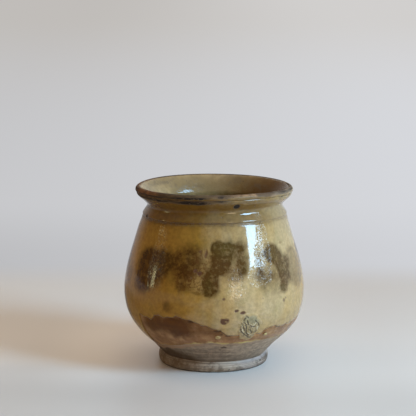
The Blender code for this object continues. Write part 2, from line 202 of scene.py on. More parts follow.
def hand_thrown(place):
    """Where a point of the true turned shape lies on the pot as it was thrown by hand."""
    radius = math.hypot(place.x, place.y)
    if radius < MM:
        return place
    azimuth = azimuth_of(place)
    lumps = noise.noise(place * LUMPS_PER_METRE) * LUMP_RISE
    ring_place = Vector((place.x * RING_DRIFT, place.y * RING_DRIFT, place.z * RINGS_PER_METRE))
    rings = noise.noise(ring_place) * RING_RISE
    oval = math.cos(math.radians(2 * azimuth - OVAL_TURN)) * OVAL
    steady = eased(*STEADY_HEIGHT, place.z) * eased(*STEADY_RADIUS, radius)
    swell = SIDE_SWELL * eased(*SWELL_START, place.z)
    swell += LOW_SWELL * eased(*LOW_SWELL_START, place.z) * eased(*LOW_SWELL_END, place.z)
    swell *= eased(*SIDE_START, azimuth) * eased(*SIDE_END, azimuth)
    waist = SIDE_WAIST * eased(*WAIST_START, place.z) * eased(*WAIST_END, place.z)
    waist *= eased(*SIDE_START, -azimuth) * eased(*SIDE_END, -azimuth)
    growth = 1.0 + ((lumps + rings + oval) * steady + swell - waist) / radius
    collar_rise = ring_height(COLLAR_RISE, azimuth)
    rim_rise = ring_height(RIM_RISE, azimuth) - collar_rise
    rise = collar_rise * eased(*COLLAR_START, place.z) + rim_rise * eased(*RIM_START, place.z)
    near_ledge = eased(*LEDGE_START, place.z) * eased(*LEDGE_END, place.z) * eased(*LEDGE_RADIUS, radius)
    rise -= ring_height(LEDGE_DIP, azimuth) * near_ledge
    lean = RIM_LEAN * eased(*LEAN_START, place.z)
    return Vector((place.x * growth, place.y * growth, place.z - place.x * lean + rise))


# Distances between the points of an outline
OUTER_STEP = 1.6 * MM
INNER_STEP = 2.5 * MM
FOOT_STEP = 0.6 * MM

outer_line = smooth_line(outline(OUTER_LINE, POT_RADIUS, POT_HEIGHT), OUTER_STEP)
clay_line = shifted_line(outer_line, -COAT_THICKNESS)
inner_line = smooth_line(outline(INNER_LINE, POT_RADIUS, POT_HEIGHT), INNER_STEP)
foot_line = smooth_line(outline(FOOT_EDGE, FOOT_RADIUS, CREASE_HEIGHT), FOOT_STEP)
foot_line += outline(UNDERSIDE, FOOT_RADIUS, CREASE_HEIGHT)


def wall_at(line, height):
    """Radius of a line drawn top to bottom, at a height, and its outward direction there."""
    index = bisect.bisect_left(line, -height, key=lambda point: -point.y)
    index = min(max(index, 1), len(line) - 1)
    above, below = line[index - 1], line[index]
    along = (below - above).normalized()
    share = (above.y - height) / (above.y - below.y)
    return above.lerp(below, share).x, Vector((-along.y, along.x))


SECTORS = 32  # a turned shape is spun over one of these, and the rest are doubled from it


def spun(line, columns):
    """A shape turned from a line at +X, with the true height of each point in millimetres kept on it."""
    shape = bmesh.new()
    points = [shape.verts.new((point.x, 0.0, point.y)) for point in line]
    edges = [shape.edges.new(pair) for pair in zip(points, points[1:])]
    if line[0].x > SEAM or line[-1].x > SEAM:
        edges.append(shape.edges.new((points[-1], points[0])))
    turn = math.tau / SECTORS
    bmesh.ops.spin(
        shape, geom=points + edges, cent=(0, 0, 0), axis=(0, 0, 1), angle=turn, steps=columns // SECTORS
    )
    while turn < math.tau * 0.9:
        copy = bmesh.ops.duplicate(shape, geom=[*shape.verts, *shape.edges, *shape.faces])["geom"]
        copied = [item for item in copy if isinstance(item, bmesh.types.BMVert)]
        bmesh.ops.rotate(shape, verts=copied, cent=(0, 0, 0), matrix=Matrix.Rotation(turn, 3, "Z"))
        turn *= 2
    bmesh.ops.remove_doubles(shape, verts=shape.verts, dist=0.5 * SEAM)
    bmesh.ops.recalc_face_normals(shape, faces=shape.faces)
    height = shape.verts.layers.float.new("height")
    for point in shape.verts:
        point[height] = point.co.z / MM
    return shape


def throw(shape):
    for point in shape.verts:
        point.co = hand_thrown(point.co)


def piece_from(name, shape, material, slot, *nodes):
    """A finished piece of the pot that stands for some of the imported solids."""
    mesh = bpy.data.meshes.new(name)
    shape.to_mesh(mesh)
    shape.free()
    mesh.shade_smooth()
    mesh.materials.append(material)
    piece = bpy.data.objects.new(name, mesh)
    bpy.context.scene.collection.objects.link(piece)
    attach(piece, "root")
    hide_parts(*nodes)
    return piece


class Value:
    """A number, place or colour in a node tree. Sums with it add nodes to that tree."""

    def __init__(self, socket):
        self.socket = socket

    def __add__(self, other):
        return maths("ADD", self, other)

    def __sub__(self, other):
        return maths("SUBTRACT", self, other)

    def __rsub__(self, other):
        return maths("SUBTRACT", other, self)

    def __mul__(self, other):
        return maths("MULTIPLY", self, other)

    def __truediv__(self, other):
        return maths("DIVIDE", self, other)

    def __abs__(self):
        return maths("ABSOLUTE", self)

    def clamped(self):
        """The same number, kept from 0 to 1 by the node that gives it."""
        self.socket.node.use_clamp = True
        return self

    def also(self, output):
        """Another output of the node that gives this value."""
        return Value(self.socket.node.outputs[output])

    def fade(self, start, end, low=0.0, high=1.0):
        """A smooth step of a number from low at start to high at end."""
        inputs = {"Value": self, "From Min": start, "From Max": end, "To Min": low, "To Max": high}
        return add(tree_of(self), "ShaderNodeMapRange", inputs, interpolation_type="SMOOTHSTEP")


def tree_of(*values):
    return next(value.socket.id_data for value in values if isinstance(value, Value))


def join(value, socket):
    """Join a value to a socket, or set the socket to a constant."""
    if isinstance(value, Value):
        socket.id_data.links.new(value.socket, socket)
    else:
        socket.default_value = value


def add(tree, kind, inputs=None, output=0, **settings):
    """One output of a new node with some settings and inputs."""
    made = tree.nodes.new(kind)
    for setting, value in settings.items():
        setattr(made, setting, value)
    for name, value in (inputs or {}).items():
        join(value, made.inputs[name])
    return Value(made.outputs[output])


def maths(operation, *values):
    return add(tree_of(*values), "ShaderNodeMath", dict(enumerate(values)), operation=operation)


def larger(value, *others):
    for other in others:
        value = maths("MAXIMUM", value, other)
    return value


def vectors(operation, first, second):
    return add(tree_of(first), "ShaderNodeVectorMath", {0: first, 1: second}, operation=operation)


def split(value, kind="XYZ"):
    """The three parts of a place, or of a colour."""
    first = add(tree_of(value), "ShaderNodeSeparate" + kind, {0: value})
    return [first.also(output) for output in range(3)]


def opaque(colour):
    return colour if isinstance(colour, Value) else (*colour, 1.0)


def tint(share, first, second, mode="MIX"):
    """A colour blended over another by a share."""
    inputs = {0: share, 6: opaque(first), 7: opaque(second)}
    tree = tree_of(share, first, second)
    return add(tree, "ShaderNodeMix", inputs, output=2, data_type="RGBA", blend_type=mode)


def dyed(colour, dye):
    """A colour multiplied by another, or by a number."""
    return tint(1.0, colour, dye, "MULTIPLY")


def layered(colour, *layers):
    """A colour under layers, each with its share and its colour."""
    for share, layer in layers:
        colour = tint(share, colour, layer)
    return colour


def cloud(place, scale, detail=2.0, roughness=0.5, output="Fac"):
    """Soft noise about 0.5, with a scale in bumps per metre."""
    inputs = {"Vector": place, "Scale": scale, "Detail": detail, "Roughness": roughness}
    return add(tree_of(place), "ShaderNodeTexNoise", inputs, output)


def stretched(place, per_metre, detail, roughness=0.5):
    """Soft noise with a scale for each direction."""
    return cloud(vectors("MULTIPLY", place, per_metre), 1.0, detail, roughness)


def group_of(name, inputs, outputs):
    """A new node group: its tree, its inputs as values and the sockets of its outputs."""
    tree = bpy.data.node_groups.new(name, "ShaderNodeTree")
    for socket, kind in inputs.items():
        tree.interface.new_socket(socket, in_out="INPUT", socket_type="NodeSocket" + kind)
    for socket in outputs:
        tree.interface.new_socket(socket, in_out="OUTPUT", socket_type="NodeSocketFloat")
    begin = tree.nodes.new("NodeGroupInput").outputs
    return tree, {socket: Value(begin[socket]) for socket in inputs}, tree.nodes.new("NodeGroupOutput").inputs


def use(group, **inputs):
    """The first output of a group in the tree of its inputs, whose names have underscores for spaces."""
    named = {socket.replace("_", " ").title(): value for socket, value in inputs.items()}
    return add(tree_of(*inputs.values()), "ShaderNodeGroup", named, node_tree=group)


def azimuth_group():
    """Azimuth of a place on the pot, in degrees."""
    tree, inputs, outputs = group_of("azimuth", {"Place": "Vector"}, ["Azimuth"])
    across, away, _ = split(inputs["Place"])
    join(maths("DEGREES", maths("ARCTAN2", across, away * -1.0)), outputs["Azimuth"])
    return tree


PATCH_FORM = ("middle_azimuth", "middle_height", "half_width", "half_height", "softness")


def patch_group():
    """A soft oval patch on the wall, with a wandering edge: sizes in degrees and millimetres."""
    sockets = ["Azimuth", "Height", "Wander Across", "Wander Up"]
    sockets += [name.replace("_", " ").title() for name in PATCH_FORM]
    tree, inputs, outputs = group_of("patch", dict.fromkeys(sockets, "Float"), ["Mask"])
    across = maths("WRAP", inputs["Azimuth"] - inputs["Middle Azimuth"], 180.0, -180.0)
    across = (across + inputs["Wander Across"]) / inputs["Half Width"]
    up = (inputs["Height"] - inputs["Middle Height"] + inputs["Wander Up"]) / inputs["Half Height"]
    out = maths("SQRT", maths("POWER", across, 2.0) + maths("POWER", up, 2.0))
    join(out.fade(inputs["Softness"] + 1.0, 1.0 - inputs["Softness"]), outputs["Mask"])
    return tree


def skin_group():
    """The skin of a fired glaze as a height in millimetres: a soft ripple, and grit where it is pitted."""
    sockets = {"Place": "Vector", "Pitting": "Float"}
    tree, inputs, outputs = group_of("glaze skin", sockets, ["Ripple", "Pits"])
    broad = cloud(inputs["Place"], 170.0)
    fine = cloud(inputs["Place"], 900.0, 2.0, 0.6)
    pits = cloud(inputs["Place"], 600.0, 2.0, 0.55).fade(0.54, 0.44) * inputs["Pitting"]
    join(broad * 0.035 + fine * 0.006 - pits * 0.13, outputs["Ripple"])
    join(pits, outputs["Pits"])
    return tree


def speck_group():
    """Scattered specks: a share of the cells of a size carries one."""
    sockets = {"Place": "Vector", "Per Metre": "Float", "Share": "Float", "Size": "Float"}
    tree, inputs, outputs = group_of("specks", sockets, ["Mask"])
    wander = vectors("SUBTRACT", cloud(inputs["Place"], 600.0, output="Color"), (0.5, 0.5, 0.5))
    place = vectors("ADD", inputs["Place"], vectors("MULTIPLY", wander, (2.0 * MM,) * 3))
    distance = add(tree, "ShaderNodeTexVoronoi", {"Vector": place, "Scale": inputs["Per Metre"]})
    chosen = maths("LESS_THAN", split(distance.also("Color"), "Color")[0], inputs["Share"])
    join(distance.fade(inputs["Size"], inputs["Size"] * 0.5) * chosen, outputs["Mask"])
    return tree


def streak_group():
    """Level streaks left by turning, fine and broad."""
    tree, inputs, outputs = group_of("turning streaks", {"Place": "Vector"}, ["Fine", "Broad"])
    join(stretched(inputs["Place"], (30.0, 30.0, 1500.0), 3.0, 0.65), outputs["Fine"])
    join(stretched(inputs["Place"], (14.0, 14.0, 330.0), 2.0), outputs["Broad"])
    return tree


AZIMUTH = azimuth_group()
PATCH = patch_group()
SKIN = skin_group()
SPECKS = speck_group()
STREAKS = streak_group()
BACK_FADE = (168.0, 112.0)  # azimuths between which a change to the right goes back


class Wall:
    """A material's tree with what its nodes share: place, azimuth, true height and the wander of edges."""

    def __init__(self, name):
        self.material = bpy.data.materials.new(name)
        self.material.use_nodes = True
        self.tree = self.material.node_tree
        self.place = add(self.tree, "ShaderNodeTexCoord", output="Object")
        self.azimuth = use(AZIMUTH, place=self.place)
        self.height = self.carried("height")
        across, up, _ = split(cloud(self.place, 120.0, 5.0, 0.62, "Color"), "Color")
        self.wander_across, self.wander_up = across - 0.5, up - 0.5

    def carried(self, name):
        """A value that a piece carries on its points."""
        return add(self.tree, "ShaderNodeAttribute", output="Fac", attribute_name=name)

    def patches(self, rows, wander, height=None, wander_up=None):
        """The summed strength of patches: azimuth, height, half width, half height, softness, strength."""
        shared = {"azimuth": self.azimuth, "height": height or self.height}
        shared["wander_across"] = self.wander_across * wander
        shared["wander_up"] = self.wander_up * (wander_up or wander)
        total = None
        for *form, strength in rows:
            weighed = use(PATCH, **shared, **dict(zip(PATCH_FORM, form))) * strength
            total = weighed if total is None else total + weighed
        return total

    def to_right(self, start, end, low=0.0, high=1.0):
        """A number that goes from low to high between two azimuths, and back to low round the back."""
        share = self.azimuth.fade(start, end) * self.azimuth.fade(*BACK_FADE)
        return share.fade(0.0, 1.0, low, high)

    def specks(self, per_metre, share, size):
        return use(SPECKS, place=self.place, per_metre=per_metre, share=share, size=size)

    def skin(self, pitting):
        return use(SKIN, place=self.place, pitting=pitting)

    def surface(self, colour, roughness, raised, ior=1.5):
        """Finish the material with a bump whose height is in millimetres."""
        bump = add(self.tree, "ShaderNodeBump", {"Strength": 1.0, "Distance": MM, "Height": raised})
        inputs = self.tree.nodes["Principled BSDF"].inputs
        for name, value in {"Base Color": colour, "Roughness": roughness, "IOR": ior, "Normal": bump}.items():
            join(value, inputs[name])
        return self.material


WHITE, BLACK = (1.0, 1.0, 1.0), (0.0, 0.0, 0.0)
# Colours of the yellow glaze, and tints that multiply them
STRAW = (0.456, 0.318, 0.150)
AMBER = (0.350, 0.187, 0.030)
BROWN_TINT = (0.18, 0.120, 0.045)
GREEN_TINT = (0.23, 0.220, 0.09)
RED_CLAY = (0.092, 0.030, 0.006)
POOLED_AND_SHADE_TINT = (0.56, 0.52, 0.47)
OLIVE_TINT = (0.84, 0.88, 0.80)
SOOT = (0.015, 0.008, 0.003)
CREASE_DIRT_AND_SHADE = (0.090, 0.046, 0.012)
FLARE_DARK, FLARE_PALE = (0.075, 0.040, 0.014), (0.150, 0.088, 0.036)
GLAZE_RUNS = (95.0, 95.0, 9.0)  # runs per metre

# Places on the wall are rows of azimuth, height, half width, half height, softness and strength, in degrees
# and millimetres. First come brown and green brush dabs, and lighter hollows in them
BROWN_DABS = (
    (-49.2, 86.9, 12.6, 15.9, 0.45, 0.8), (-47.7, 99.2, 11.9, 7.1, 0.5, 0.45),
    (-51.7, 84.1, 7.1, 11.6, 0.5, 0.3), (-53.6, 74.3, 8.1, 5.4, 0.6, 0.35), (-35.2, 95.5, 7.6, 12, 0.5, 0.36),
    (-19.2, 98.8, 10, 12, 0.5, 0.57), (-15, 107.4, 6, 4.6, 0.6, 0.24), (-24.2, 102, 3.2, 4, 0.6, 0.2),
    (-19.8, 85, 6.6, 10.7, 0.45, 0.4), (-20.6, 78.4, 3.7, 3.7, 0.5, 0.4), (-7.3, 99, 6, 10.6, 0.6, 0.22),
    (-10.9, 83.5, 6, 9.8, 0.6, 0.04), (-12.4, 76.4, 4.3, 3, 0.6, 0.16), (-10.5, 74.6, 5, 1, 0.7, 0.35),
    (-4.5, 72.8, 4, 0.9, 0.7, 0.35), (-1.6, 82.6, 5.4, 11.2, 0.4, 0.85), (-0.7, 81.6, 3.5, 8.3, 0.5, 0.2),
    (3, 101, 5.3, 12.4, 0.45, 0.76), (2.2, 107, 3.4, 5, 0.6, 0.3), (3.1, 108.5, 4.4, 5.8, 0.5, 0.35),
    (5.7, 98.4, 5, 8.7, 0.45, 0.5), (14, 109.4, 9.2, 3.6, 0.6, 0.22), (9.6, 105.8, 6, 7.8, 0.5, 0.4),
    (19.6, 101.9, 5, 12.4, 0.5, 0.62), (19, 89.8, 3.2, 6.8, 0.5, 0.24), (13.4, 91.8, 6.8, 8.7, 0.5, 0.4),
    (44.6, 102.4, 7.8, 6.4, 0.45, 0.92), (53.4, 94.8, 7.6, 6.2, 0.45, 0.54), (53, 83.4, 5.8, 10.2, 0.5, 0.54),
    (50.5, 74.7, 4.2, 4.9, 0.5, 0.42), (39.5, 83.5, 4.5, 5, 0.6, 0.22), (45.2, 89.9, 8.1, 8.2, 0.5, 0.25),
    (44.2, 86.5, 13.5, 16.5, 0.4, 0.4), (32.6, 81.5, 3.5, 9.3, 0.5, 0.35), (68.1, 87, 13, 17, 0.2, 0.55),
    (-29.6, 61.2, 3.1, 4.2, 0.6, 0.55), (-38, 91, 24, 15, 0.45, 0.25), (-31, 84, 7, 8, 0.6, 0.06),
    (-62, 63, 12, 8, 0.8, 0.12), (-9, 92, 9, 14, 0.6, 0.2), (11.5, 97, 12, 14, 0.4, 0.31),
    (29.5, 87, 4.5, 5, 0.5, 0.3), (31.8, 97, 2.6, 10, 0.6, 0.35), (90, 92, 8, 13, 0.45, 0.8),
    (95, 84, 6, 9, 0.5, 0.55), (86, 99, 6, 6, 0.5, 0.5), (108, 96, 5.5, 13, 0.45, 0.75),
    (118, 94, 5, 12, 0.45, 0.7), (113, 106, 8, 4.5, 0.5, 0.6), (113, 95, 9, 14, 0.4, 0.35),
    (131, 88, 7, 14, 0.45, 0.85), (126, 79, 6, 6, 0.5, 0.4), (147, 97, 8, 9, 0.45, 0.7),
    (154, 86, 6, 10, 0.45, 0.65), (150, 92, 12, 16, 0.5, 0.3), (168, 93, 8, 14, 0.45, 0.85),
    (174, 101, 6, 6, 0.5, 0.5), (-172, 82, 6, 9, 0.5, 0.6), (-157, 95, 7, 12, 0.45, 0.8),
    (-148, 87, 6, 12, 0.45, 0.7), (-153, 104, 8, 5, 0.5, 0.5), (-153, 93, 11, 15, 0.4, 0.3),
    (-134, 97, 8, 11, 0.45, 0.75), (-128, 87, 5, 9, 0.5, 0.5), (-113, 90, 9, 15, 0.45, 0.85),
    (-120, 99, 6, 7, 0.5, 0.4), (-106, 83, 5, 8, 0.5, 0.45), (-92, 95, 9, 12, 0.45, 0.75),
    (-86, 85, 6, 9, 0.5, 0.5), (-73, 79.6, 7, 8, 0.6, 0.45), (102, 91, 10, 13, 0.6, 0.2),
    (141, 90, 10, 12, 0.6, 0.2), (-163, 90, 10, 12, 0.6, 0.2), (-123, 92, 10, 13, 0.6, 0.2),
    (-82, 90, 10, 12, 0.6, 0.2),
)
GREEN_DABS = (
    (-34.6, 97.6, 6.6, 10.6, 0.5, 0.35), (-15.2, 105.8, 5.4, 6.8, 0.5, 0.1),
    (3.4, 108.1, 4.8, 6.3, 0.5, 0.45), (10.2, 108.4, 5.3, 7.7, 0.5, 0.3), (16.6, 110.6, 7.6, 4.6, 0.6, 0.14),
    (45.6, 101.9, 7.9, 6.2, 0.4, 0.3), (53.9, 91, 7, 6.6, 0.5, 0.25), (49.6, 73.5, 3.7, 3.5, 0.5, 0.35),
    (-3.5, 79.6, 3.1, 8.8, 0.5, 0.35), (113, 101, 7, 8, 0.5, 0.6), (150, 99, 7, 7, 0.5, 0.6),
    (-133, 99, 6, 7, 0.5, 0.6), (-92, 98, 6, 7, 0.5, 0.5),
)
DAB_HOLLOWS = (
    (15.2, 101, 2.2, 10, 0.6, 0.22), (44.6, 90.8, 5.2, 6.2, 0.5, 0.1), (113, 96, 1.6, 8, 0.6, 0.35),
    (-152, 92, 1.8, 7, 0.6, 0.35),
)
# Places where red threads of clay show through the glaze
VEINED = (
    (-10.5, 84, 6.5, 10, 0.4, 0.6), (-8, 99, 5.5, 9, 0.5, 0.55), (12, 91, 6, 8, 0.4, 0.35),
    (-19.5, 84, 6, 9, 0.5, 0.4), (140, 82, 12, 10, 0.5, 0.4), (-104, 84, 12, 9, 0.5, 0.4),
)
# Clouds of darker amber in the glaze
AMBER_CLOUDS = (
    (-48, 90, 44, 70, 0.7, 1), (-30, 118, 24, 14, 0.8, 0.45), (-30, 62, 18, 16, 0.7, 0.28),
    (8, 143, 60, 9, 0.8, 0.36), (0, 140, 34, 4.5, 0.8, 0.3), (47, 118, 12, 9, 0.8, 0.14),
    (33, 66, 10, 12, 0.8, 0.14), (150, 80, 45, 60, 0.9, 0.7), (95, 60, 22, 26, 0.9, 0.4),
)
# Places where the glaze is gritty with small pits
PITTED = (
    (-41, 92, 6, 28, 0.4, 1.8), (38, 108, 4.8, 24, 0.3, 1.9), (28, 86, 5, 7, 0.3, 1.5),
    (32, 100.5, 3, 8, 0.3, 1.6), (35, 86, 4, 8, 0.5, 0.5), (14, 76, 6, 16, 0.6, 0.8),
    (100, 84, 14, 22, 0.6, 0.7), (-120, 90, 18, 20, 0.6, 0.7), (170, 76, 16, 20, 0.6, 0.6),
)
# Places where the glaze is rubbed dull
DULL_PLACES = ((-41, 137, 7, 3, 0.5, 0.18), (140, 132, 14, 5, 0.5, 0.18))
# Places where the slip is broken and the clay shows
BARE_SPOTS = (
    (5.4, 51.4, 1.3, 2.2, 0.4, 0.9), (7.6, 52.6, 1.7, 1.1, 0.5, 0.7), (8.9, 51.2, 0.9, 1.3, 0.5, 0.5),
    (6.8, 49.3, 1.4, 1, 0.5, 0.7), (7, 51, 2.2, 2, 0.5, 0.45), (14.4, 59.7, 1.5, 1.2, 0.4, 1),
    (18.3, 57.6, 1.6, 1.2, 0.4, 1), (-11.7, 91.8, 1.3, 1.4, 0.4, 1.1), (-8.9, 90, 1.6, 1.7, 0.4, 1.1),
    (-4.9, 105, 0.9, 2.8, 0.5, 0.8), (-8.9, 106.6, 0.9, 1.1, 0.5, 0.6), (-14.1, 86.3, 0.9, 0.8, 0.5, 0.6),
    (6.4, 70, 0.9, 1.1, 0.5, 0.8), (49.7, 63, 0.9, 1.8, 0.4, 0.7), (51.5, 65, 0.7, 1, 0.4, 0.7),
    (56, 108.5, 1.6, 1, 0.5, 0.35), (126, 60, 2, 1.8, 0.4, 1), (-96, 52, 2.6, 2, 0.4, 1),
    (-140, 66, 1.4, 1.6, 0.4, 0.9), (171, 71, 1.3, 1.2, 0.4, 0.9),
)
# Single deep pits
PITS = (
    (17.6, 140.3, 2.5, 2.1, 0.3, 1), (-67, 128, 1.6, 1.2, 0.4, 1), (103, 139, 1.4, 1.1, 0.4, 1),
    (-151, 127.5, 1.8, 1, 0.4, 1),
)
# Wear and soot that reach from the rim onto the flare
FLARE_WEAR = (
    (-52, 146.2, 42, 3.6, 0.35, 1), (-16, 146, 18, 3, 0.4, 1), (6, 145.8, 6, 2.2, 0.6, 0.7),
    (-120, 146, 26, 1.8, 0.5, 0.7), (165, 146, 30, 1.6, 0.5, 0.6),
)
FLARE_SOOT = (
    (-62, 144.2, 20, 1.1, 0.5, 0.65), (-38, 144.2, 14, 1, 0.5, 0.65), (-14, 143.8, 11, 1.6, 0.45, 1.2),
    (5.5, 146.2, 4, 1.6, 0.6, 0.9), (60, 146.2, 4, 1.4, 0.6, 0.8), (74, 146.2, 4, 1.2, 0.6, 0.6),
    (72, 141.6, 1.6, 0.9, 0.5, 0.8),
)


def glaze_colour(wall):
    """Amber and straw glaze: clouds, runs and grain, with browner glaze and painted shade on the collar and
    flare, and painted shade towards the top and bottom of the belly.
    """
    soft = cloud(wall.place, 26.0, 3.0)
    runs = stretched(wall.place, GLAZE_RUNS, 3.0)
    grain = cloud(wall.place, 330.0, 4.0, 0.6)
    patchy = cloud(wall.place, 85.0, 4.0, 0.6)
    amber = wall.patches(AMBER_CLOUDS, 20.0) + soft.fade(0.35, 0.70, -0.10, 0.30)
    amber = (amber + runs.fade(0.30, 0.75, -0.12, 0.22)).clamped()
    colour = tint(amber, STRAW, AMBER)
    # Browner glaze on the collar and flare, with painted shade there that is deeper on the front and left
    # than on the right.
    pooled_and_shade = (wall.height + wall.wander_up * 6.0).fade(120.0, 130.0) * wall.to_right(20.0, 75.0, 1.0, 0.40)
    colour = tint(pooled_and_shade, colour, dyed(colour, POOLED_AND_SHADE_TINT))
    # Painted shade: the glaze is darker towards the top of the belly and towards its bottom.
    height_shade = wall.height.fade(98.0, 124.0, 1.0, 0.84) * wall.height.fade(58.0, 44.0, 1.0, 0.92)
    colour = dyed(colour, height_shade)
    colour = tint(patchy.fade(0.50, 0.68, 0.0, 0.7), colour, dyed(colour, OLIVE_TINT))
    return dyed(colour, runs.fade(0.25, 0.75, -0.05, 0.06) + grain.fade(0.28, 0.72, 0.82, 1.12))


def yellow_glaze():
    """Glossy glaze over slip, with oxide dabs, bare spots and a thin lower edge."""
    wall = Wall("yellow_glaze")
    mottle = cloud(wall.place, 230.0, 5.0, 0.65)
    flecks = cloud(wall.place, 480.0, 4.0, 0.7)
    green = wall.patches(GREEN_DABS, 5.0)
    dark = wall.patches(BROWN_DABS, 5.0) + green - wall.patches(DAB_HOLLOWS, 3.0)
    dark = dark.clamped() * (mottle.fade(0.32, 0.62, 0.80, 1.08) * flecks.fade(0.30, 0.62, 0.82, 1.08))
    dab_tint = tint((green * 1.0).clamped(), BROWN_TINT, GREEN_TINT)
    thread = abs(cloud(wall.place, 210.0, 3.0, 0.6) - 0.5)
    veins = (thread.fade(0.06, 0.01) * wall.patches(VEINED, 4.0)).clamped()
    thin = wall.carried("edge").fade(1.2, 0.1, 0.0, 0.6)
    bare = larger(wall.patches(BARE_SPOTS, 3.0).clamped(), wall.specks(150.0, 0.16, 0.13) * 0.6, thin)
    pits = wall.patches(PITS, 3.0).clamped()
    # Dirt along the collar's crease, with painted shade in it that is weaker on the right side.
    crease = abs(wall.height - (SHOULDER_HEIGHT / MM + 0.1))
    crease_dirt_and_shade = crease.fade(2.8, 0.2) * mottle.fade(0.38, 0.6, 0.35, 0.85) * wall.to_right(28.0, 55.0, 1.0, 0.35)
    worn = (wall.patches(FLARE_WEAR, 3.0) * mottle.fade(0.30, 0.52, 0.5, 1.0)).clamped()
    soot = (wall.patches(FLARE_SOOT, 2.5) * mottle.fade(0.32, 0.52)).clamped()
    colour = glaze_colour(wall)
    colour = layered(
        colour, (dark, dyed(colour, dab_tint)), (veins, RED_CLAY), (bare, RED_CLAY), (crease_dirt_and_shade, CREASE_DIRT_AND_SHADE),
        (worn, tint(mottle.fade(0.35, 0.65), FLARE_DARK, FLARE_PALE)), (soot, SOOT), (pits, SOOT),
    )
    patchy = cloud(wall.place, 60.0, 3.0, 0.6).fade(0.54, 0.68, 0.0, 0.15)
    ripple = wall.skin(larger(wall.patches(PITTED, 4.0), patchy))
    rubbed = wall.patches(DULL_PLACES, 4.0)
    matt = larger(ripple.also("Pits") * 0.05, bare * 0.55, pits, crease_dirt_and_shade * 0.4, worn, soot, rubbed)
    roughness = mottle.fade(0.3, 0.7, 0.05, 0.10) + matt * 0.9
    return wall.surface(colour, roughness, ripple - (bare + pits) * 0.25, ior=1.54)


# Where the brown clay is darkest under its glaze
DEEP_BROWN = (
    (-34, 44, 16, 8, 0.6, 1), (-20, 44, 14, 7, 0.6, 0.9), (-46, 43, 10, 8, 0.6, 0.5),
    (2, 40.5, 8, 3, 0.8, 0.6), (47, 38, 16, 2.5, 0.8, 0.35), (120, 36, 30, 7, 0.7, 0.8),
    (-150, 31, 26, 6, 0.7, 0.9),
)
# Brown stains in the notch over the foot, with painted shade in the notch
NOTCH_STAINS_AND_SHADE = (
    (-56, 15, 26, 8, 0.6, 1), (-30, 12.5, 16, 4, 0.7, 0.9), (-24, 20, 26, 6, 0.7, 0.2),
    (-110, 13, 30, 4, 0.7, 0.6), (150, 12, 24, 4, 0.7, 0.5),
)
# Small burnt marks in the clay
CLAY_MARKS = (
    (2.5, 42, 2.6, 0.9, 0.4, 0.8), (9.7, 37, 2, 1, 0.4, 0.7), (8.2, 25.4, 2.6, 0.7, 0.4, 0.9),
    (5.5, 38.8, 1.2, 1, 0.5, 0.6), (-14.5, 49.8, 2.2, 1.2, 0.5, 0.7), (130, 30, 3, 1, 0.4, 0.7),
    (-120, 40, 2.4, 1.2, 0.4, 0.7),
)

# Colours of the belly's clay: under its glaze, bare, and at the line between the two
GLAZED_BROWN, GLAZED_PALE = (0.270, 0.130, 0.050), (0.352, 0.198, 0.088)
GLAZED_RED, GLAZED_DEEP = (0.195, 0.088, 0.036), (0.118, 0.044, 0.007)
BARE_GREY, BARE_PALE = (0.25, 0.182, 0.124), (0.37, 0.278, 0.196)
BARE_STREAK, BARE_LOW = (0.150, 0.108, 0.074), (0.11, 0.075, 0.050)
NOTCH_BROWN_AND_SHADE, BURNT_CLAY = (0.080, 0.044, 0.020), (0.05, 0.024, 0.010)
END_FLUSH, END_LINE = (0.36, 0.215, 0.125), (0.50, 0.370, 0.140)


def brown_clay():
    """Brown clay under a thin clear glaze, and dull bare clay below the line where that glaze ends."""
    wall = Wall("brown_clay")
    fine = use(STREAKS, place=wall.place)
    level = fine.also("Broad")
    mottle = cloud(wall.place, 120.0, 4.0, 0.6)
    broad = cloud(wall.place, 46.0, 3.0)
    grain = cloud(wall.place, 240.0, 4.0, 0.65)
    deep = (wall.patches(DEEP_BROWN, 12.0) * broad.fade(0.30, 0.60, 0.65, 1.0)).clamped()
    glazed = tint(mottle.fade(0.38, 0.68), GLAZED_BROWN, GLAZED_PALE)
    glazed = layered(glazed, (broad.fade(0.52, 0.72, 0.0, 0.5), GLAZED_RED), (deep, GLAZED_DEEP))
    glazed = dyed(glazed, level.fade(0.30, 0.70, 0.90, 1.10) * mottle.fade(0.30, 0.70, 0.86, 1.12))
    dull = tint(fine.fade(0.36, 0.64), BARE_GREY, BARE_PALE)
    dull = tint(level.fade(0.45, 0.68, 0.0, 0.5), dull, BARE_STREAK)
    dull = dyed(dull, grain.fade(0.32, 0.68, 0.72, 1.26))
    # Brown stains with painted shade in the notch, and the bare clay darker towards the notch.
    stain = (wall.patches(NOTCH_STAINS_AND_SHADE, 8.0) * mottle.fade(0.30, 0.60, 0.5, 1.0)).clamped()
    dull = layered(dull, (wall.height.fade(20.0, 12.0, 0.0, 0.6), BARE_LOW), (stain, NOTCH_BROWN_AND_SHADE))
    above_end = wall.carried("edge") + wall.wander_up * 2.2
    line = abs(above_end - 0.5).fade(1.15, 0.35) * mottle.fade(0.34, 0.56, 0.15, 1.0)
    line = line * wall.to_right(-24.0, -10.0, 0.15, 1.0) * wall.to_right(22.0, 34.0, 1.0, 0.45)
    flush = abs(above_end + 1.5).fade(1.7, 0.5) * wall.to_right(-12.0, 0.0, 0.75, 0.25)
    flush = flush * broad.fade(0.30, 0.52, 0.4, 1.0)
    marks = larger(wall.specks(210.0, 0.14, 0.16) * 0.7, wall.patches(CLAY_MARKS, 3.0)).clamped()
    colour = layered(
        dull, (above_end.fade(-0.3, 0.4), glazed), (flush, END_FLUSH), (line, END_LINE), (marks, BURNT_CLAY),
    )
    grooves = fine * above_end.fade(0.4, -0.3, 0.05, 0.22)
    raised = wall.skin(0.3) + line * 0.15 + grooves
    return wall.surface(colour, above_end.fade(-0.3, 0.4, 0.62, 0.24), raised, ior=1.33)


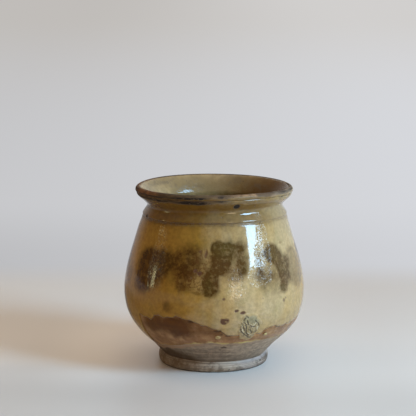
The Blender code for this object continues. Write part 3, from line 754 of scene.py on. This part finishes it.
# Brown stains on the foot, and dark marks on its edges
FOOT_STAINS = (
    (-62, 6, 26, 7, 0.6, 0.95), (-30, 8.5, 20, 3.5, 0.7, 0.75), (-20, 2.5, 22, 2.5, 0.7, 0.7),
    (10, 3, 14, 2.6, 0.8, 0.6), (70, 6, 10, 6, 0.7, 0.6), (-110, 5, 30, 6, 0.8, 0.7),
    (150, 5, 36, 6, 0.8, 0.55),
)
FOOT_MARKS = (
    (58.5, 8.6, 2.4, 0.8, 0.4, 0.9), (16.1, 2.6, 1.1, 0.8, 0.4, 0.8), (74, 7, 3, 3, 0.5, 0.5),
    (-88, 8.4, 2.4, 0.8, 0.4, 0.8), (165, 2.4, 2, 0.8, 0.4, 0.8),
)

FOOT_GREY, FOOT_PALE = (0.20, 0.143, 0.096), (0.50, 0.390, 0.290)
FOOT_DARK, FOOT_BROWN = (0.13, 0.092, 0.062), (0.160, 0.098, 0.050)
FOOT_LEDGE_HIGHLIGHT, FOOT_RIGHT_SHADE = (0.40, 0.340, 0.290), (0.84, 0.86, 0.95)
FOOT_CONTACT_SHADOW, FOOT_BURNT = (0.030, 0.020, 0.014), (0.040, 0.027, 0.019)


def foot_clay():
    """Pale grey bare clay, streaked by turning and rubbed along its edges, with a painted highlight on its
    ledge, painted shade on its right and a painted contact shadow along its bottom.
    """
    wall = Wall("foot_clay")
    fine = use(STREAKS, place=wall.place)
    mottle = cloud(wall.place, 150.0, 4.0, 0.65)
    stain = (wall.patches(FOOT_STAINS, 10.0) * mottle.fade(0.34, 0.60, 0.4, 1.0)).clamped()
    # Painted highlight: the top of the ledge is paler, more so towards the right side.
    ledge = wall.height.fade(8.6, 10.2) * wall.to_right(-10.0, 40.0, 0.0, 0.50)
    marks = larger(wall.specks(230.0, 0.16, 0.18) * 0.7, wall.patches(FOOT_MARKS, 2.0)).clamped()
    colour = tint(fine.fade(0.36, 0.64), FOOT_GREY, FOOT_PALE)
    colour = layered(
        colour, (mottle.fade(0.48, 0.66, 0.0, 0.75), FOOT_DARK), (stain, FOOT_BROWN), (ledge, FOOT_LEDGE_HIGHLIGHT),
    )
    # Painted shade: the foot is darker and bluer on its right side.
    colour = dyed(colour, tint(wall.to_right(10.0, 45.0), WHITE, FOOT_RIGHT_SHADE))
    # Painted contact shadow along the bottom, where the foot stands.
    colour = layered(colour, (wall.height.fade(1.6, 0.6) * 0.95, FOOT_CONTACT_SHADOW), (marks, FOOT_BURNT))
    raised = (fine + mottle * 0.5) * 0.75
    return wall.surface(colour, mottle.fade(0.3, 0.7, 0.55, 0.80), raised)


# The rim's wear and soot lie by azimuth and by the turn round its roll: 0 outwards, 90 on top, 180 inwards
WORN_PATCHES = (
    (-62, 40, 46, 85, 0.2, 1), (-45, 84, 44, 46, 0.3, 1), (-12, 62, 26, 62, 0.3, 1),
    (30, 82, 40, 26, 0.35, 1), (68, 68, 24, 50, 0.35, 1), (52, 38, 26, 52, 0.3, 1), (21, 52, 20, 32, 0.35, 1),
    (98, 105, 26, 50, 0.45, 1), (140, 98, 40, 30, 0.4, 0.95), (-170, 98, 40, 28, 0.4, 0.95),
    (-125, 98, 30, 38, 0.4, 0.95), (8, 20, 5, 26, 0.5, 0.8),
)
SOOT_PATCHES = (
    (-64, -16, 20, 14, 0.5, 0.9), (-40, -22, 16, 12, 0.5, 0.8), (-16, -4, 13, 24, 0.45, 1.2),
    (-22, 60, 10, 14, 0.6, 0.5), (-78, 40, 8, 26, 0.6, 0.8), (7, 26, 5, 34, 0.6, 0.9),
    (-60, 70, 16, 8, 0.6, 0.5), (62, 50, 5, 22, 0.6, 0.6), (77, 60, 6, 24, 0.6, 0.5),
    (71, 40, 14, 18, 0.7, 0.5), (87, 56, 10, 34, 0.7, 0.25), (18, 66, 14, 10, 0.6, 0.4),
    (46, 66, 9, 12, 0.6, 0.5), (92, 120, 9, 24, 0.6, 0.7), (178, 92, 40, 18, 0.7, 0.8),
    (-140, 100, 16, 22, 0.6, 0.8), (128, 98, 14, 22, 0.6, 0.8), (-112, 110, 10, 20, 0.6, 0.7),
)

RIM_BROWN, RIM_RED = (0.098, 0.060, 0.024), (0.160, 0.068, 0.022)
RIM_PALE, RIM_GREY = (0.235, 0.136, 0.066), (0.195, 0.136, 0.086)
RIM_DARK, RIM_SPECK = (0.045, 0.023, 0.010), (0.065, 0.036, 0.020)


def worn_rim():
    """A glazed rim, rubbed down to brown clay along its crest and sooty in patches."""
    wall = Wall("worn_rim")
    roll = wall.carried("roll")
    mottle = cloud(wall.place, 260.0, 4.0, 0.65)
    broad = cloud(wall.place, 70.0, 3.0)
    red_side = wall.azimuth.fade(-35.0, -55.0) * wall.azimuth.fade(-150.0, -110.0)
    pale_side = wall.to_right(-14.0, 8.0)
    grey_side = wall.to_right(38.0, 58.0)
    clay = layered(RIM_BROWN, (red_side, RIM_RED), (pale_side, RIM_PALE), (grey_side, RIM_GREY))
    clay = dyed(clay, mottle.fade(0.30, 0.68, 0.60, 1.30))
    clay = tint(broad.fade(0.44, 0.64, 0.0, 0.7), clay, RIM_DARK)
    worn = wall.patches(WORN_PATCHES, 8.0, height=roll, wander_up=60.0)
    worn = (worn * mottle.fade(0.26, 0.44, 0.55, 1.0)).clamped()
    soot = wall.patches(SOOT_PATCHES, 8.0, height=roll, wander_up=50.0)
    soot = (soot * mottle.fade(0.34, 0.56)).clamped()
    specks = wall.specks(250.0, 0.30, 0.22) * pale_side.fade(0.3, 1.0, 0.15, 0.8)
    colour = tint(roll.fade(90.0, 120.0), glaze_colour(wall), lining_colour(wall))
    colour = layered(colour, (worn, clay), (specks, RIM_SPECK), (soot, SOOT))
    roughness = larger(worn, soot) * 0.70 + 0.12
    return wall.surface(colour, roughness, wall.skin(0.5) + mottle * 0.25, ior=1.48)


# Grey stains under the rim inside, and where the lining is browner, with painted shade there
LINING_STAINS = (
    (160, 146, 12, 3.5, 0.8, 0.9), (-162, 143, 12, 5, 0.8, 0.9), (178, 140, 12, 4, 0.8, 0.4),
    (-128, 147, 18, 2.5, 0.8, 1), (-140, 144, 6, 2.5, 0.8, 0.7), (95, 144, 14, 5, 0.8, 0.7),
    (-145, 138, 8, 5, 0.8, 0.6), (130, 141, 16, 3, 0.8, 0.7), (135, 143.5, 9, 1.8, 0.8, 0.8),
    (114, 145, 6, 4, 0.8, 0.9), (-105, 143, 8, 5, 0.8, 0.6),
)
LINING_AMBER_AND_SHADE = ((110, 138, 55, 26, 0.8, 0.9), (40, 120, 60, 40, 0.9, 0.6))

LINING_YELLOW, LINING_OLIVE = (0.345, 0.236, 0.112), (0.27, 0.176, 0.070)
LINING_BROWN_AND_SHADE, LINING_GREY = (0.115, 0.056, 0.013), (0.12, 0.082, 0.046)
LINING_SPECK = (0.07, 0.046, 0.026)


def lining_colour(wall):
    """Olive-yellow glaze, browner to one side with painted shade there, with grey stains under the rim."""
    mottle = cloud(wall.place, 190.0, 5.0, 0.68)
    soft = cloud(wall.place, 34.0, 3.0)
    colour = tint(soft.fade(0.35, 0.65), LINING_YELLOW, LINING_OLIVE)
    colour = dyed(colour, mottle.fade(0.30, 0.70, 0.78, 1.20))
    # Browner glaze with painted shade on the inside's right.
    amber = wall.patches(LINING_AMBER_AND_SHADE, 12.0).clamped()
    stain = (wall.patches(LINING_STAINS, 10.0) * mottle.fade(0.36, 0.60)).clamped()
    return layered(colour, (amber, LINING_BROWN_AND_SHADE), (stain * 0.75, LINING_GREY))


def inside_glaze():
    """The olive-yellow glaze inside, specked with brown."""
    wall = Wall("inside_glaze")
    mottle = cloud(wall.place, 120.0, 4.0, 0.6)
    colour = tint(wall.specks(160.0, 0.2, 0.15) * 0.6, lining_colour(wall), LINING_SPECK)
    return wall.surface(colour, mottle.fade(0.3, 0.7, 0.08, 0.16), wall.skin(0.35), ior=1.43)


# Colours of the kiln scar, wrinkled and smooth, with dark grooves that are partly painted shade and a painted
# highlight on its ridges, and of the splashes
SCAR_OLIVE, SCAR_STRAW = (0.24, 0.170, 0.080), (0.40, 0.300, 0.155)
SMOOTH_OLIVE, SMOOTH_STRAW = (0.23, 0.182, 0.090), (0.33, 0.268, 0.145)
GROOVE_BROWN_AND_SHADE, RIDGE_HIGHLIGHT = (0.055, 0.034, 0.015), (0.56, 0.490, 0.340)
SPLASH_STRAW, SPLASH_AMBER = (0.46, 0.340, 0.140), (0.34, 0.215, 0.080)


def scar_glaze():
    """Wrinkled olive glaze with dark grooves, partly painted shade, and painted highlights on its ridges."""
    wall = Wall("scar_glaze")
    grain = cloud(wall.place, 420.0, 3.0).fade(0.35, 0.65)
    ridge = wall.carried("ridge")
    outer = wall.carried("border") + wall.wander_up * 0.6
    colour = layered(
        tint(grain, SCAR_OLIVE, SCAR_STRAW),
        (wall.carried("smooth"), tint(grain, SMOOTH_OLIVE, SMOOTH_STRAW)),
        (ridge.fade(0.50, 0.10, 0.0, 0.92), GROOVE_BROWN_AND_SHADE), (ridge.fade(0.80, 1.0, 0.0, 0.75), RIDGE_HIGHLIGHT),
        (outer.fade(0.74, 0.98), glaze_colour(wall)),
    )
    return wall.surface(colour, ridge.fade(0.1, 0.6, 0.45, 0.12), wall.skin(0.2))


def splash_glaze():
    """The pale glaze of a splash."""
    wall = Wall("splash_glaze")
    grain = cloud(wall.place, 520.0, 3.0)
    colour = tint(grain.fade(0.35, 0.65), SPLASH_STRAW, SPLASH_AMBER)
    return wall.surface(colour, grain.fade(0.3, 0.7, 0.12, 0.22), grain * 0.2)


GLAZE = yellow_glaze()
BROWN_CLAY = brown_clay()
FOOT_CLAY = foot_clay()
WORN_RIM = worn_rim()
INSIDE_GLAZE = inside_glaze()
SCAR_GLAZE = scar_glaze()
SPLASH_GLAZE = splash_glaze()


COAT_COLUMNS = 640
REMAP_HEIGHT = 82.0 * MM
LIP_REACH = 2.4 * MM
BACKING_STRIDE = 4  # a hidden face needs only some of a line's points
# Ragged bends of the slip's edge and of the clear glaze's end: bends in a turn, seed, millimetres
SLIP_BENDS = ((110, 1.7, 1.1), (260, 5.2, 0.5))
END_BENDS = ((60, 9.1, 0.8),)


def ragged_height(points, bends, azimuth):
    """Height of a ragged line round the pot."""
    strays = (ring_wander(azimuth, count, seed) * reach for count, seed, reach in bends)
    return ring_height(points, azimuth) + sum(strays) * MM


def outer_coat():
    """The slip coat: from under the roll of the rim to a ragged edge on the lower belly."""
    lowest = min(height for azimuth, height in SLIP_EDGE) * MM
    outside = [point for point in outer_line if point.y > lowest]
    against = shifted_line(clay_line, SEAM)
    inside = [point for point in against if point.y > lowest][::BACKING_STRIDE]
    shape = spun(outside + inside[::-1], COAT_COLUMNS)
    height = shape.verts.layers.float["height"]
    edge = shape.verts.layers.float.new("edge")
    for point in shape.verts:
        radius = math.hypot(point.co.x, point.co.y)
        is_outside = radius - wall_at(clay_line, point.co.z)[0] > COAT_THICKNESS / 2
        above = REMAP_HEIGHT
        if point.co.z < REMAP_HEIGHT:
            low = ragged_height(SLIP_EDGE, SLIP_BENDS, azimuth_of(point.co))
            share = (REMAP_HEIGHT - point.co.z) / (REMAP_HEIGHT - outside[-1].y)
            level = REMAP_HEIGHT - (REMAP_HEIGHT - low) * min(share, 1.0)
            above = level - low
            clay_radius, outward = wall_at(clay_line, level)
            lip = math.sqrt(min(max(above, 0.0) / LIP_REACH, 1.0))
            stand = COAT_THICKNESS * lip if is_outside else 0.0
            point.co *= (clay_radius + outward.x * (SEAM + stand)) / radius
            point.co.z = level + outward.y * (SEAM + stand)
        point[height] = point.co.z / MM
        point[edge] = above / MM
    throw(shape)
    return piece_from("outer_coat", shape, GLAZE, "yellow_glaze", "outer_glaze")


BELLY_COLUMNS = 480
CLAY_TOP = POT_HEIGHT * 0.93
FLOOR_STRIDE = 3
# The hidden joint between belly and foot: shares of the crease's radius and height
SEAT_RADIUS = 0.9
BELLY_SEAT = 0.62
FOOT_SEAT = 0.6


def belly_clay():
    """The clay wall from the crease at the foot to the neck, seen below the slip."""
    outside = [point for point in clay_line if point.y < CLAY_TOP]
    against = shifted_line(inner_line, SEAM)
    inside = [point for point in against if point.y < CLAY_TOP][::FLOOR_STRIDE]
    inside[-1] = Vector((0.0, inner_line[-1].y - SEAM))
    seat_height = CREASE_HEIGHT * BELLY_SEAT
    seat = [Vector((outside[-1].x * SEAT_RADIUS, seat_height)), Vector((0.0, seat_height))]
    shape = spun(inside[::-1] + outside + seat, BELLY_COLUMNS)
    edge = shape.verts.layers.float.new("edge")
    for point in shape.verts:
        end = ragged_height(GLAZE_END, END_BENDS, azimuth_of(point.co))
        point[edge] = (point.co.z - end) / MM
    throw(shape)
    return piece_from("belly_clay", shape, BROWN_CLAY, "glazed_clay", "belly", "collar")


# Chips knocked out of the foot: azimuth, height, reach, depth
FOOT_CHIPS = ((63, 9.8, 2.4, 1), (30, 0.8, 2.2, 0.8), (-118, 10.4, 2.8, 1), (158, 1, 2.4, 0.9))
FOOT_COLUMNS = 416


def foot():
    """The turned foot with its ledge, rounded edge, hollow underside and a few chips."""
    seat_height = CREASE_HEIGHT * FOOT_SEAT
    seat = [Vector((0.0, seat_height)), Vector((foot_line[0].x * SEAT_RADIUS, seat_height))]
    shape = spun(seat + foot_line, FOOT_COLUMNS)
    for point in shape.verts:
        for azimuth, height, reach, depth in FOOT_CHIPS:
            angle = math.radians(azimuth)
            middle = Vector((math.sin(angle) * FOOT_RADIUS, -math.cos(angle) * FOOT_RADIUS, height * MM))
            away = (point.co - middle).length / (reach * MM)
            if away < 1.0:
                point.co -= middle.normalized() * depth * MM * (1.0 - away * away)
    throw(shape)
    return piece_from("foot_clay", shape, FOOT_CLAY, "bare_clay", "foot")


RIM_COLUMNS = 480
ROLL_ANGLES = range(160, -101, -10)  # round the roll, from the inside over the top to below
ROOT_POINT = 4  # of the outer line, level with the rim's hidden root
ROOT_DEPTHS = (1.6, 4.0)  # behind the outer line, in coats


def rim():
    """The rolled edge with its hidden root between the two coats."""
    middle = Vector((RIM_RADIUS - ROLL_RADIUS, POT_HEIGHT - ROLL_RADIUS))
    roll = []
    for angle in ROLL_ANGLES:
        turn = math.radians(angle)
        roll.append(middle + Vector((math.cos(turn), math.sin(turn))) * ROLL_RADIUS)
    root = [outer_line[ROOT_POINT] - Vector((COAT_THICKNESS * depth, 0.0)) for depth in ROOT_DEPTHS]
    shape = spun(roll + root, RIM_COLUMNS)
    turned = shape.verts.layers.float.new("roll")
    for point in shape.verts:
        out = math.hypot(point.co.x, point.co.y) - middle.x
        point[turned] = math.degrees(math.atan2(point.co.z - middle.y, out))
    throw(shape)
    return piece_from("rolled_rim", shape, WORN_RIM, "worn_rim", "rim")


LINING_COLUMNS = 416
LINING_THICKNESS = COAT_THICKNESS / 2


def lining():
    """The glaze inside, from the roll of the rim to the floor."""
    behind = shifted_line(inner_line, LINING_THICKNESS)
    behind[-1] = Vector((0.0, inner_line[-1].y - LINING_THICKNESS))
    shape = spun(inner_line[::-1] + behind[::FLOOR_STRIDE] + behind[-1:], LINING_COLUMNS)
    throw(shape)
    return piece_from("inside_lining", shape, INSIDE_GLAZE, "inside_glaze", "inner_glaze")


# Lumps on the wall: azimuth, height, width and length, in degrees and millimetres
SCAR = (23.6, 45.2, 20.2, 24.4)
DROPS = ((3, 36.3, 4.4, 3.4), (38.3, 35.4, 3.4, 2.6))
LUMP_STRAY = 0.22  # share by which a lump's outline strays from an oval
LUMP_BENDS = 2.2
LUMP_BACK = -0.1  # how deep its flat back goes, as a share of its rise
SCAR_FACETS = (144, 112)
SCAR_SEED = 7  # keeps the wander of its wrinkles the same each time
SCAR_RISE = 1.1 * MM
DROP_FACETS = (28, 16)
DROP_RISE = 0.7 * MM
# Grooves and ridges of the scar, from its middle: millimetres across and up
SCAR_GROOVES = (
    ((-7.1, 11), (-4.5, 10.3), (-2.4, 8.2)), ((-3.4, 5.8), (-1.6, 2.7), (2.2, -0.1), (4.9, 0.3)),
    ((4.2, 5.1), (7.4, 2.5), (9.2, -1.8)), ((-9.2, 4.3), (-6.2, 1.5), (-4.7, -3)),
    ((-9.2, -1), (-6.2, -4.4), (-0.7, -8.7), (3, -11)),
    ((-5.4, 4.5), (-2.9, -0.6), (-2.8, -4.5), (-0.4, -7.1)), ((-7.6, 6.8), (-5.6, 6.4), (-4.6, 8)),
    ((2, -10), (2.8, -10.8)), ((4.7, -6.2), (6.4, -4.3)), ((0.4, -3), (2.8, -5.4)),
    ((7.6, -7.2), (8.2, -6.2)), ((-8, 0.8), (-7.4, -2.2)), ((4.2, -9), (5.2, -8)),
)
SCAR_RIDGES = (
    ((-0.3, 2.2), (1.8, 1.1), (4.1, 1.5), (4.8, 3.4)), ((-7.5, 2.3), (-6.8, -1.4), (-4.5, -4.9)),
    ((-1.8, -4.5), (1.3, -7.3)), ((6.9, -0.5), (6.8, -3.3)),
)


def pressed_patch(place, facets, form_at):
    """A low lump on the coat, flat underneath; form_at gives its rise, ridge and smoothness."""
    azimuth, height, width, length = place
    shape = bmesh.new()
    bmesh.ops.create_uvsphere(shape, u_segments=facets[0], v_segments=facets[1], radius=1.0)
    ridge, smooth, true_height, border = (
        shape.verts.layers.float.new(name) for name in ("ridge", "smooth", "height", "border")
    )
    for point in shape.verts:
        angle = math.atan2(point.co.y, point.co.x)
        point[border] = math.hypot(point.co.x, point.co.y)
        bend = Vector((math.cos(angle) * LUMP_BENDS, math.sin(angle) * LUMP_BENDS, height))
        stray = 1.0 + LUMP_STRAY * noise.noise(bend)
        across = point.co.x * width / 2 * MM * stray
        up = point.co.y * length / 2 * MM * stray
        rise, point[ridge], point[smooth] = form_at(across, up)
        level = height * MM + up
        radius, outward = wall_at(outer_line, level)
        turn = math.radians(azimuth) + across / radius
        out = Vector((radius, level)) + outward * max(point.co.z, LUMP_BACK) * rise
        point.co = (out.x * math.sin(turn), -out.x * math.cos(turn), out.y)
        point[true_height] = level / MM
    throw(shape)
    return shape


def distance_to(lines, place):
    """Distance of a place from the nearest of some lines, in millimetres."""
    nearest = 100.0
    for line in lines:
        for start, end in zip(line, line[1:]):
            start, end = Vector(start), Vector(end)
            share = intersect_point_line(place, start, end)[1]
            nearest = min(nearest, (place - start.lerp(end, min(max(share, 0.0), 1.0))).length)
    return nearest


SHAKE = 0.55  # millimetres, and bends per millimetre, of the wrinkles' wander
GROOVE_EDGE = (0.85, 0.10)
RIDGE_EDGE = (0.95, 0.15)
SMOOTH_START = (1.0, 4.0)
SCAR_LEVEL = 0.62  # of its plain skin, between a groove at 0 and a ridge at 1


def wrinkles(across, up):
    """Rise of the scar, its wrinkles from 0 in a groove to 1 on a ridge, and how smooth it is there."""
    place = Vector((across / MM, up / MM))
    shaken = place + Vector(noise.noise_vector(Vector((place.x, place.y, 3.0)) * SHAKE)[:2]) * SHAKE
    groove = eased(*GROOVE_EDGE, distance_to(SCAR_GROOVES, shaken))
    ridge = eased(*RIDGE_EDGE, distance_to(SCAR_RIDGES, shaken))
    smooth = eased(*SMOOTH_START, place.y - 0.3 * abs(place.x - 2.5))
    grain = noise.noise(Vector((place.x, place.y, 0.0)) * 1.3) * 0.60 * (1.0 - smooth)
    level = SCAR_LEVEL + grain + (1.0 - SCAR_LEVEL) * ridge - SCAR_LEVEL * groove
    level = min(max(level, 0.0), 1.0)
    return SCAR_RISE * (0.35 + 0.65 * level), level, smooth


def scar():
    """The fused scar on the slip's edge."""
    noise.seed_set(SCAR_SEED)
    shape = pressed_patch(SCAR, SCAR_FACETS, wrinkles)
    return piece_from("kiln_scar_lump", shape, SCAR_GLAZE, "scar_glaze", "kiln_scar")


def splash_form(across, up):
    return DROP_RISE, 1.0, 1.0


def drops():
    """Splashes of glaze on the brown clay below the slip."""
    for number, place in enumerate(DROPS, start=1):
        shape = pressed_patch(place, DROP_FACETS, splash_form)
        piece_from(f"glaze_splash_{number}", shape, SPLASH_GLAZE, "yellow_glaze", f"glaze_drop_{number}")


outer_coat()
belly_clay()
foot()
rim()
lining()
scar()
drops()


# Stage: a pale table that runs out into a pale backdrop
FLOOR_SIZE = 24.0
TABLE_EDGE = (0.26, 0.40)  # distances between which the table gives way to the backdrop
# Table colours: a painted fill on the left, painted shade in a strip before and behind the pot and on the
# right
TABLE_LEFT_FILL, TABLE_MIDDLE = (0.690, 0.665, 0.640), (0.655, 0.622, 0.588)
TABLE_CENTRE_SHADE, TABLE_RIGHT_SHADE = (0.640, 0.595, 0.560), (0.625, 0.580, 0.540)
BACKDROP_LEFT, BACKDROP_RIGHT = (0.562, 0.563, 0.578), (0.680, 0.695, 0.732)
BACKDROP_FAR_TINT = (0.94, 0.90, 0.84)


def table_colour(across, away, mirrored):
    """The table's colour, with painted light and shade: paler on the left and lighter still in the pot's
    shadow there, darker in a strip before and behind the pot, on the right, in front and in the lit stripe
    before the shadow, and painted shade where the pot mirrors its left side.
    """
    colour = tint(across.fade(-0.09, 0.03), TABLE_LEFT_FILL, TABLE_MIDDLE)
    colour = tint(abs(across).fade(0.04, 0.10), TABLE_CENTRE_SHADE, colour)
    colour = tint(across.fade(0.06, 0.16), colour, TABLE_RIGHT_SHADE)
    near_light_and_shade = away.fade(-0.14, -0.03, 0.90, 1.06) * away.fade(0.05, 0.16, 1.0, 0.96)
    # Painted light: a paler patch where the pot's shadow falls on the left, and painted shade on the lit
    # stripe before it.
    left = across.fade(-0.03, -0.07) * across.fade(-0.16, -0.09) * away.fade(0.20, 0.08)
    left = left * away.fade(-0.12, -0.03, 0.0, 0.18)
    lit_side_shade = across.fade(-0.02, -0.07) * away.fade(0.0, -0.04, 0.0, 0.12) * away.fade(-0.15, -0.08, 0.3, 1.0)
    colour = dyed(colour, near_light_and_shade * (left - lit_side_shade + 1.0))
    return tint(mirrored * across.fade(0.0, -0.14, 0.0, 0.75), colour, BLACK)


def backdrop_colour(across, away, mirrored):
    """The backdrop's colour, lighter to the right, with painted shade where the pot mirrors its left."""
    colour = tint(across.fade(-0.5, 0.5), BACKDROP_LEFT, BACKDROP_RIGHT)
    colour = dyed(colour, away.fade(0.36, 0.80, across.fade(-0.35, 0.35, 0.86, 0.955), 1.0))
    colour = tint(away.fade(1.0, 4.5), colour, dyed(colour, BACKDROP_FAR_TINT))
    return tint(mirrored * across.fade(-0.1, -0.4, 0.0, 0.40), colour, BLACK)


def pale_table():
    """A matt table that turns into an even backdrop further out."""
    material = bpy.data.materials.new("pale_table")
    material.use_nodes = True
    tree = material.node_tree
    shader = tree.nodes["Principled BSDF"]
    across, away, _ = split(add(tree, "ShaderNodeTexCoord", output="Object"))
    seen = add(tree, "ShaderNodeLightPath", output="Is Camera Ray")
    mirrored = seen.also("Is Glossy Ray")
    join(0.5, shader.inputs["Roughness"])
    join(table_colour(across, away, mirrored), shader.inputs["Base Color"])
    backdrop = add(tree, "ShaderNodeEmission", {"Color": backdrop_colour(across, away, mirrored)})
    behind = larger(abs(across), abs(away)).fade(*TABLE_EDGE)
    share = behind * larger(mirrored, seen.also("Is Transmission Ray"), seen)
    # Painted light: a faint glow for camera rays in the pot's shadow on the left.
    soft = across.fade(-0.11, -0.055) * across.fade(-0.042, -0.052, 0.0, 0.14)
    soft = soft * away.fade(-0.055, -0.02) * away.fade(0.13, 0.05)
    inputs = {0: larger(share, soft * seen), 1: Value(shader.outputs[0]), 2: backdrop}
    join(add(tree, "ShaderNodeMixShader", inputs), tree.nodes["Material Output"].inputs["Surface"])
    return material


def table_top():
    shape = bmesh.new()
    bmesh.ops.create_grid(shape, x_segments=8, y_segments=8, size=FLOOR_SIZE / 2)
    mesh = bpy.data.meshes.new("table_top")
    shape.to_mesh(mesh)
    shape.free()
    mesh.materials.append(pale_table())
    floor = bpy.data.objects.new("table_top", mesh)
    bpy.context.scene.collection.objects.link(floor)


# Light of the room, from its left to its right, and what is seen beyond the backdrop
FRONT_LEFT, FRONT_RIGHT = (0.19, 0.125, 0.070), (0.24, 0.225, 0.215)
BACK_LEFT, BACK_RIGHT = (0.36, 0.325, 0.29), (0.66, 0.67, 0.69)
ABOVE_LEFT, ABOVE_RIGHT = (0.28, 0.225, 0.17), (0.46, 0.42, 0.38)
BEYOND = (0.58, 0.595, 0.625)


def room_light():
    """Dim warm light from the front and left, and pale light from behind."""
    world = bpy.data.worlds.new("room")
    bpy.context.scene.world = world
    world.use_nodes = True
    tree = world.node_tree
    across, away, up = split(add(tree, "ShaderNodeTexCoord", output="Generated"))
    front = tint(across.fade(-0.6, 0.8), FRONT_LEFT, FRONT_RIGHT)
    back = tint(across.fade(-0.8, 0.8), BACK_LEFT, BACK_RIGHT)
    above = tint(across.fade(-0.6, 0.6), ABOVE_LEFT, ABOVE_RIGHT)
    seen = add(tree, "ShaderNodeLightPath", output="Is Camera Ray")
    behind = (away + across * 0.35).fade(0.15, 0.70)
    colour = layered(front, (behind, back), (up.fade(0.22, 0.70), above), (seen, BEYOND))
    join(colour, tree.nodes["Background"].inputs["Color"])


# Lamps aimed at the middle of the pot: azimuth, elevation, distance, width, height, watts, colour,
# and whether the glaze mirrors it
LAMPS = {
    "window": (59.2, 27.7, 1.2, 0.355, 0.55, 14.0, (0.40, 0.70, 1.0), True),
    "window_fill": (57.4, 27.7, 1.2, 0.28, 0.55, 1.6, (0.92, 1.0, 0.90), False),
    "curtain": (72.2, 20.8, 1.2, 0.18, 0.33, 2.9, (0.48, 0.73, 1.0), True),
    "doorway": (28.6, 6.0, 1.6, 0.38, 0.44, 2.8, (1.0, 0.76, 0.50), True),
    "side_gap": (-84.0, 6.0, 1.5, 0.13, 0.25, 0.72, (1.0, 0.92, 0.50), True),
    "overhead": (120.0, 70.0, 2.0, 2.6, 2.6, 13.0, (1.0, 0.85, 0.69), True),
    "left_bounce": (-95.0, 48.0, 1.8, 1.4, 1.4, 5.0, (1.0, 0.72, 0.45), False),
}


def lamp(name, azimuth, elevation, distance, width, height, watts, colour, mirrored):
    data = bpy.data.lights.new(name, "AREA")
    data.shape = "RECTANGLE"
    data.size = width
    data.size_y = height
    data.energy = watts
    data.color = colour
    turn = math.radians(azimuth)
    rise = math.radians(elevation)
    away = Vector((math.sin(turn) * math.cos(rise), -math.cos(turn) * math.cos(rise), math.sin(rise)))
    made = bpy.data.objects.new(name, data)
    made.visible_glossy = mirrored
    made.location = Vector((0.0, 0.0, POT_HEIGHT / 2)) + away * distance
    made.rotation_euler = (-away).to_track_quat("-Z", "Y").to_euler()
    bpy.context.scene.collection.objects.link(made)


CAMERA_DISTANCE = 1.413
CAMERA_HEIGHT = 0.384
CAMERA_PITCH = 10.14
CAMERA_YAW = 0.19
LENS = 146.9
SENSOR = 36.0


def camera():
    data = bpy.data.cameras.new("camera")
    data.lens = LENS
    data.sensor_width = SENSOR
    made = bpy.data.objects.new("camera", data)
    made.location = (0.0, -CAMERA_DISTANCE, CAMERA_HEIGHT)
    made.rotation_euler = (math.radians(90.0 - CAMERA_PITCH), 0.0, math.radians(CAMERA_YAW))
    bpy.context.scene.collection.objects.link(made)
    bpy.context.scene.camera = made


table_top()
room_light()
for name, settings in LAMPS.items():
    lamp(name, *settings)
camera()
bpy.context.scene.view_settings.view_transform = "Standard"
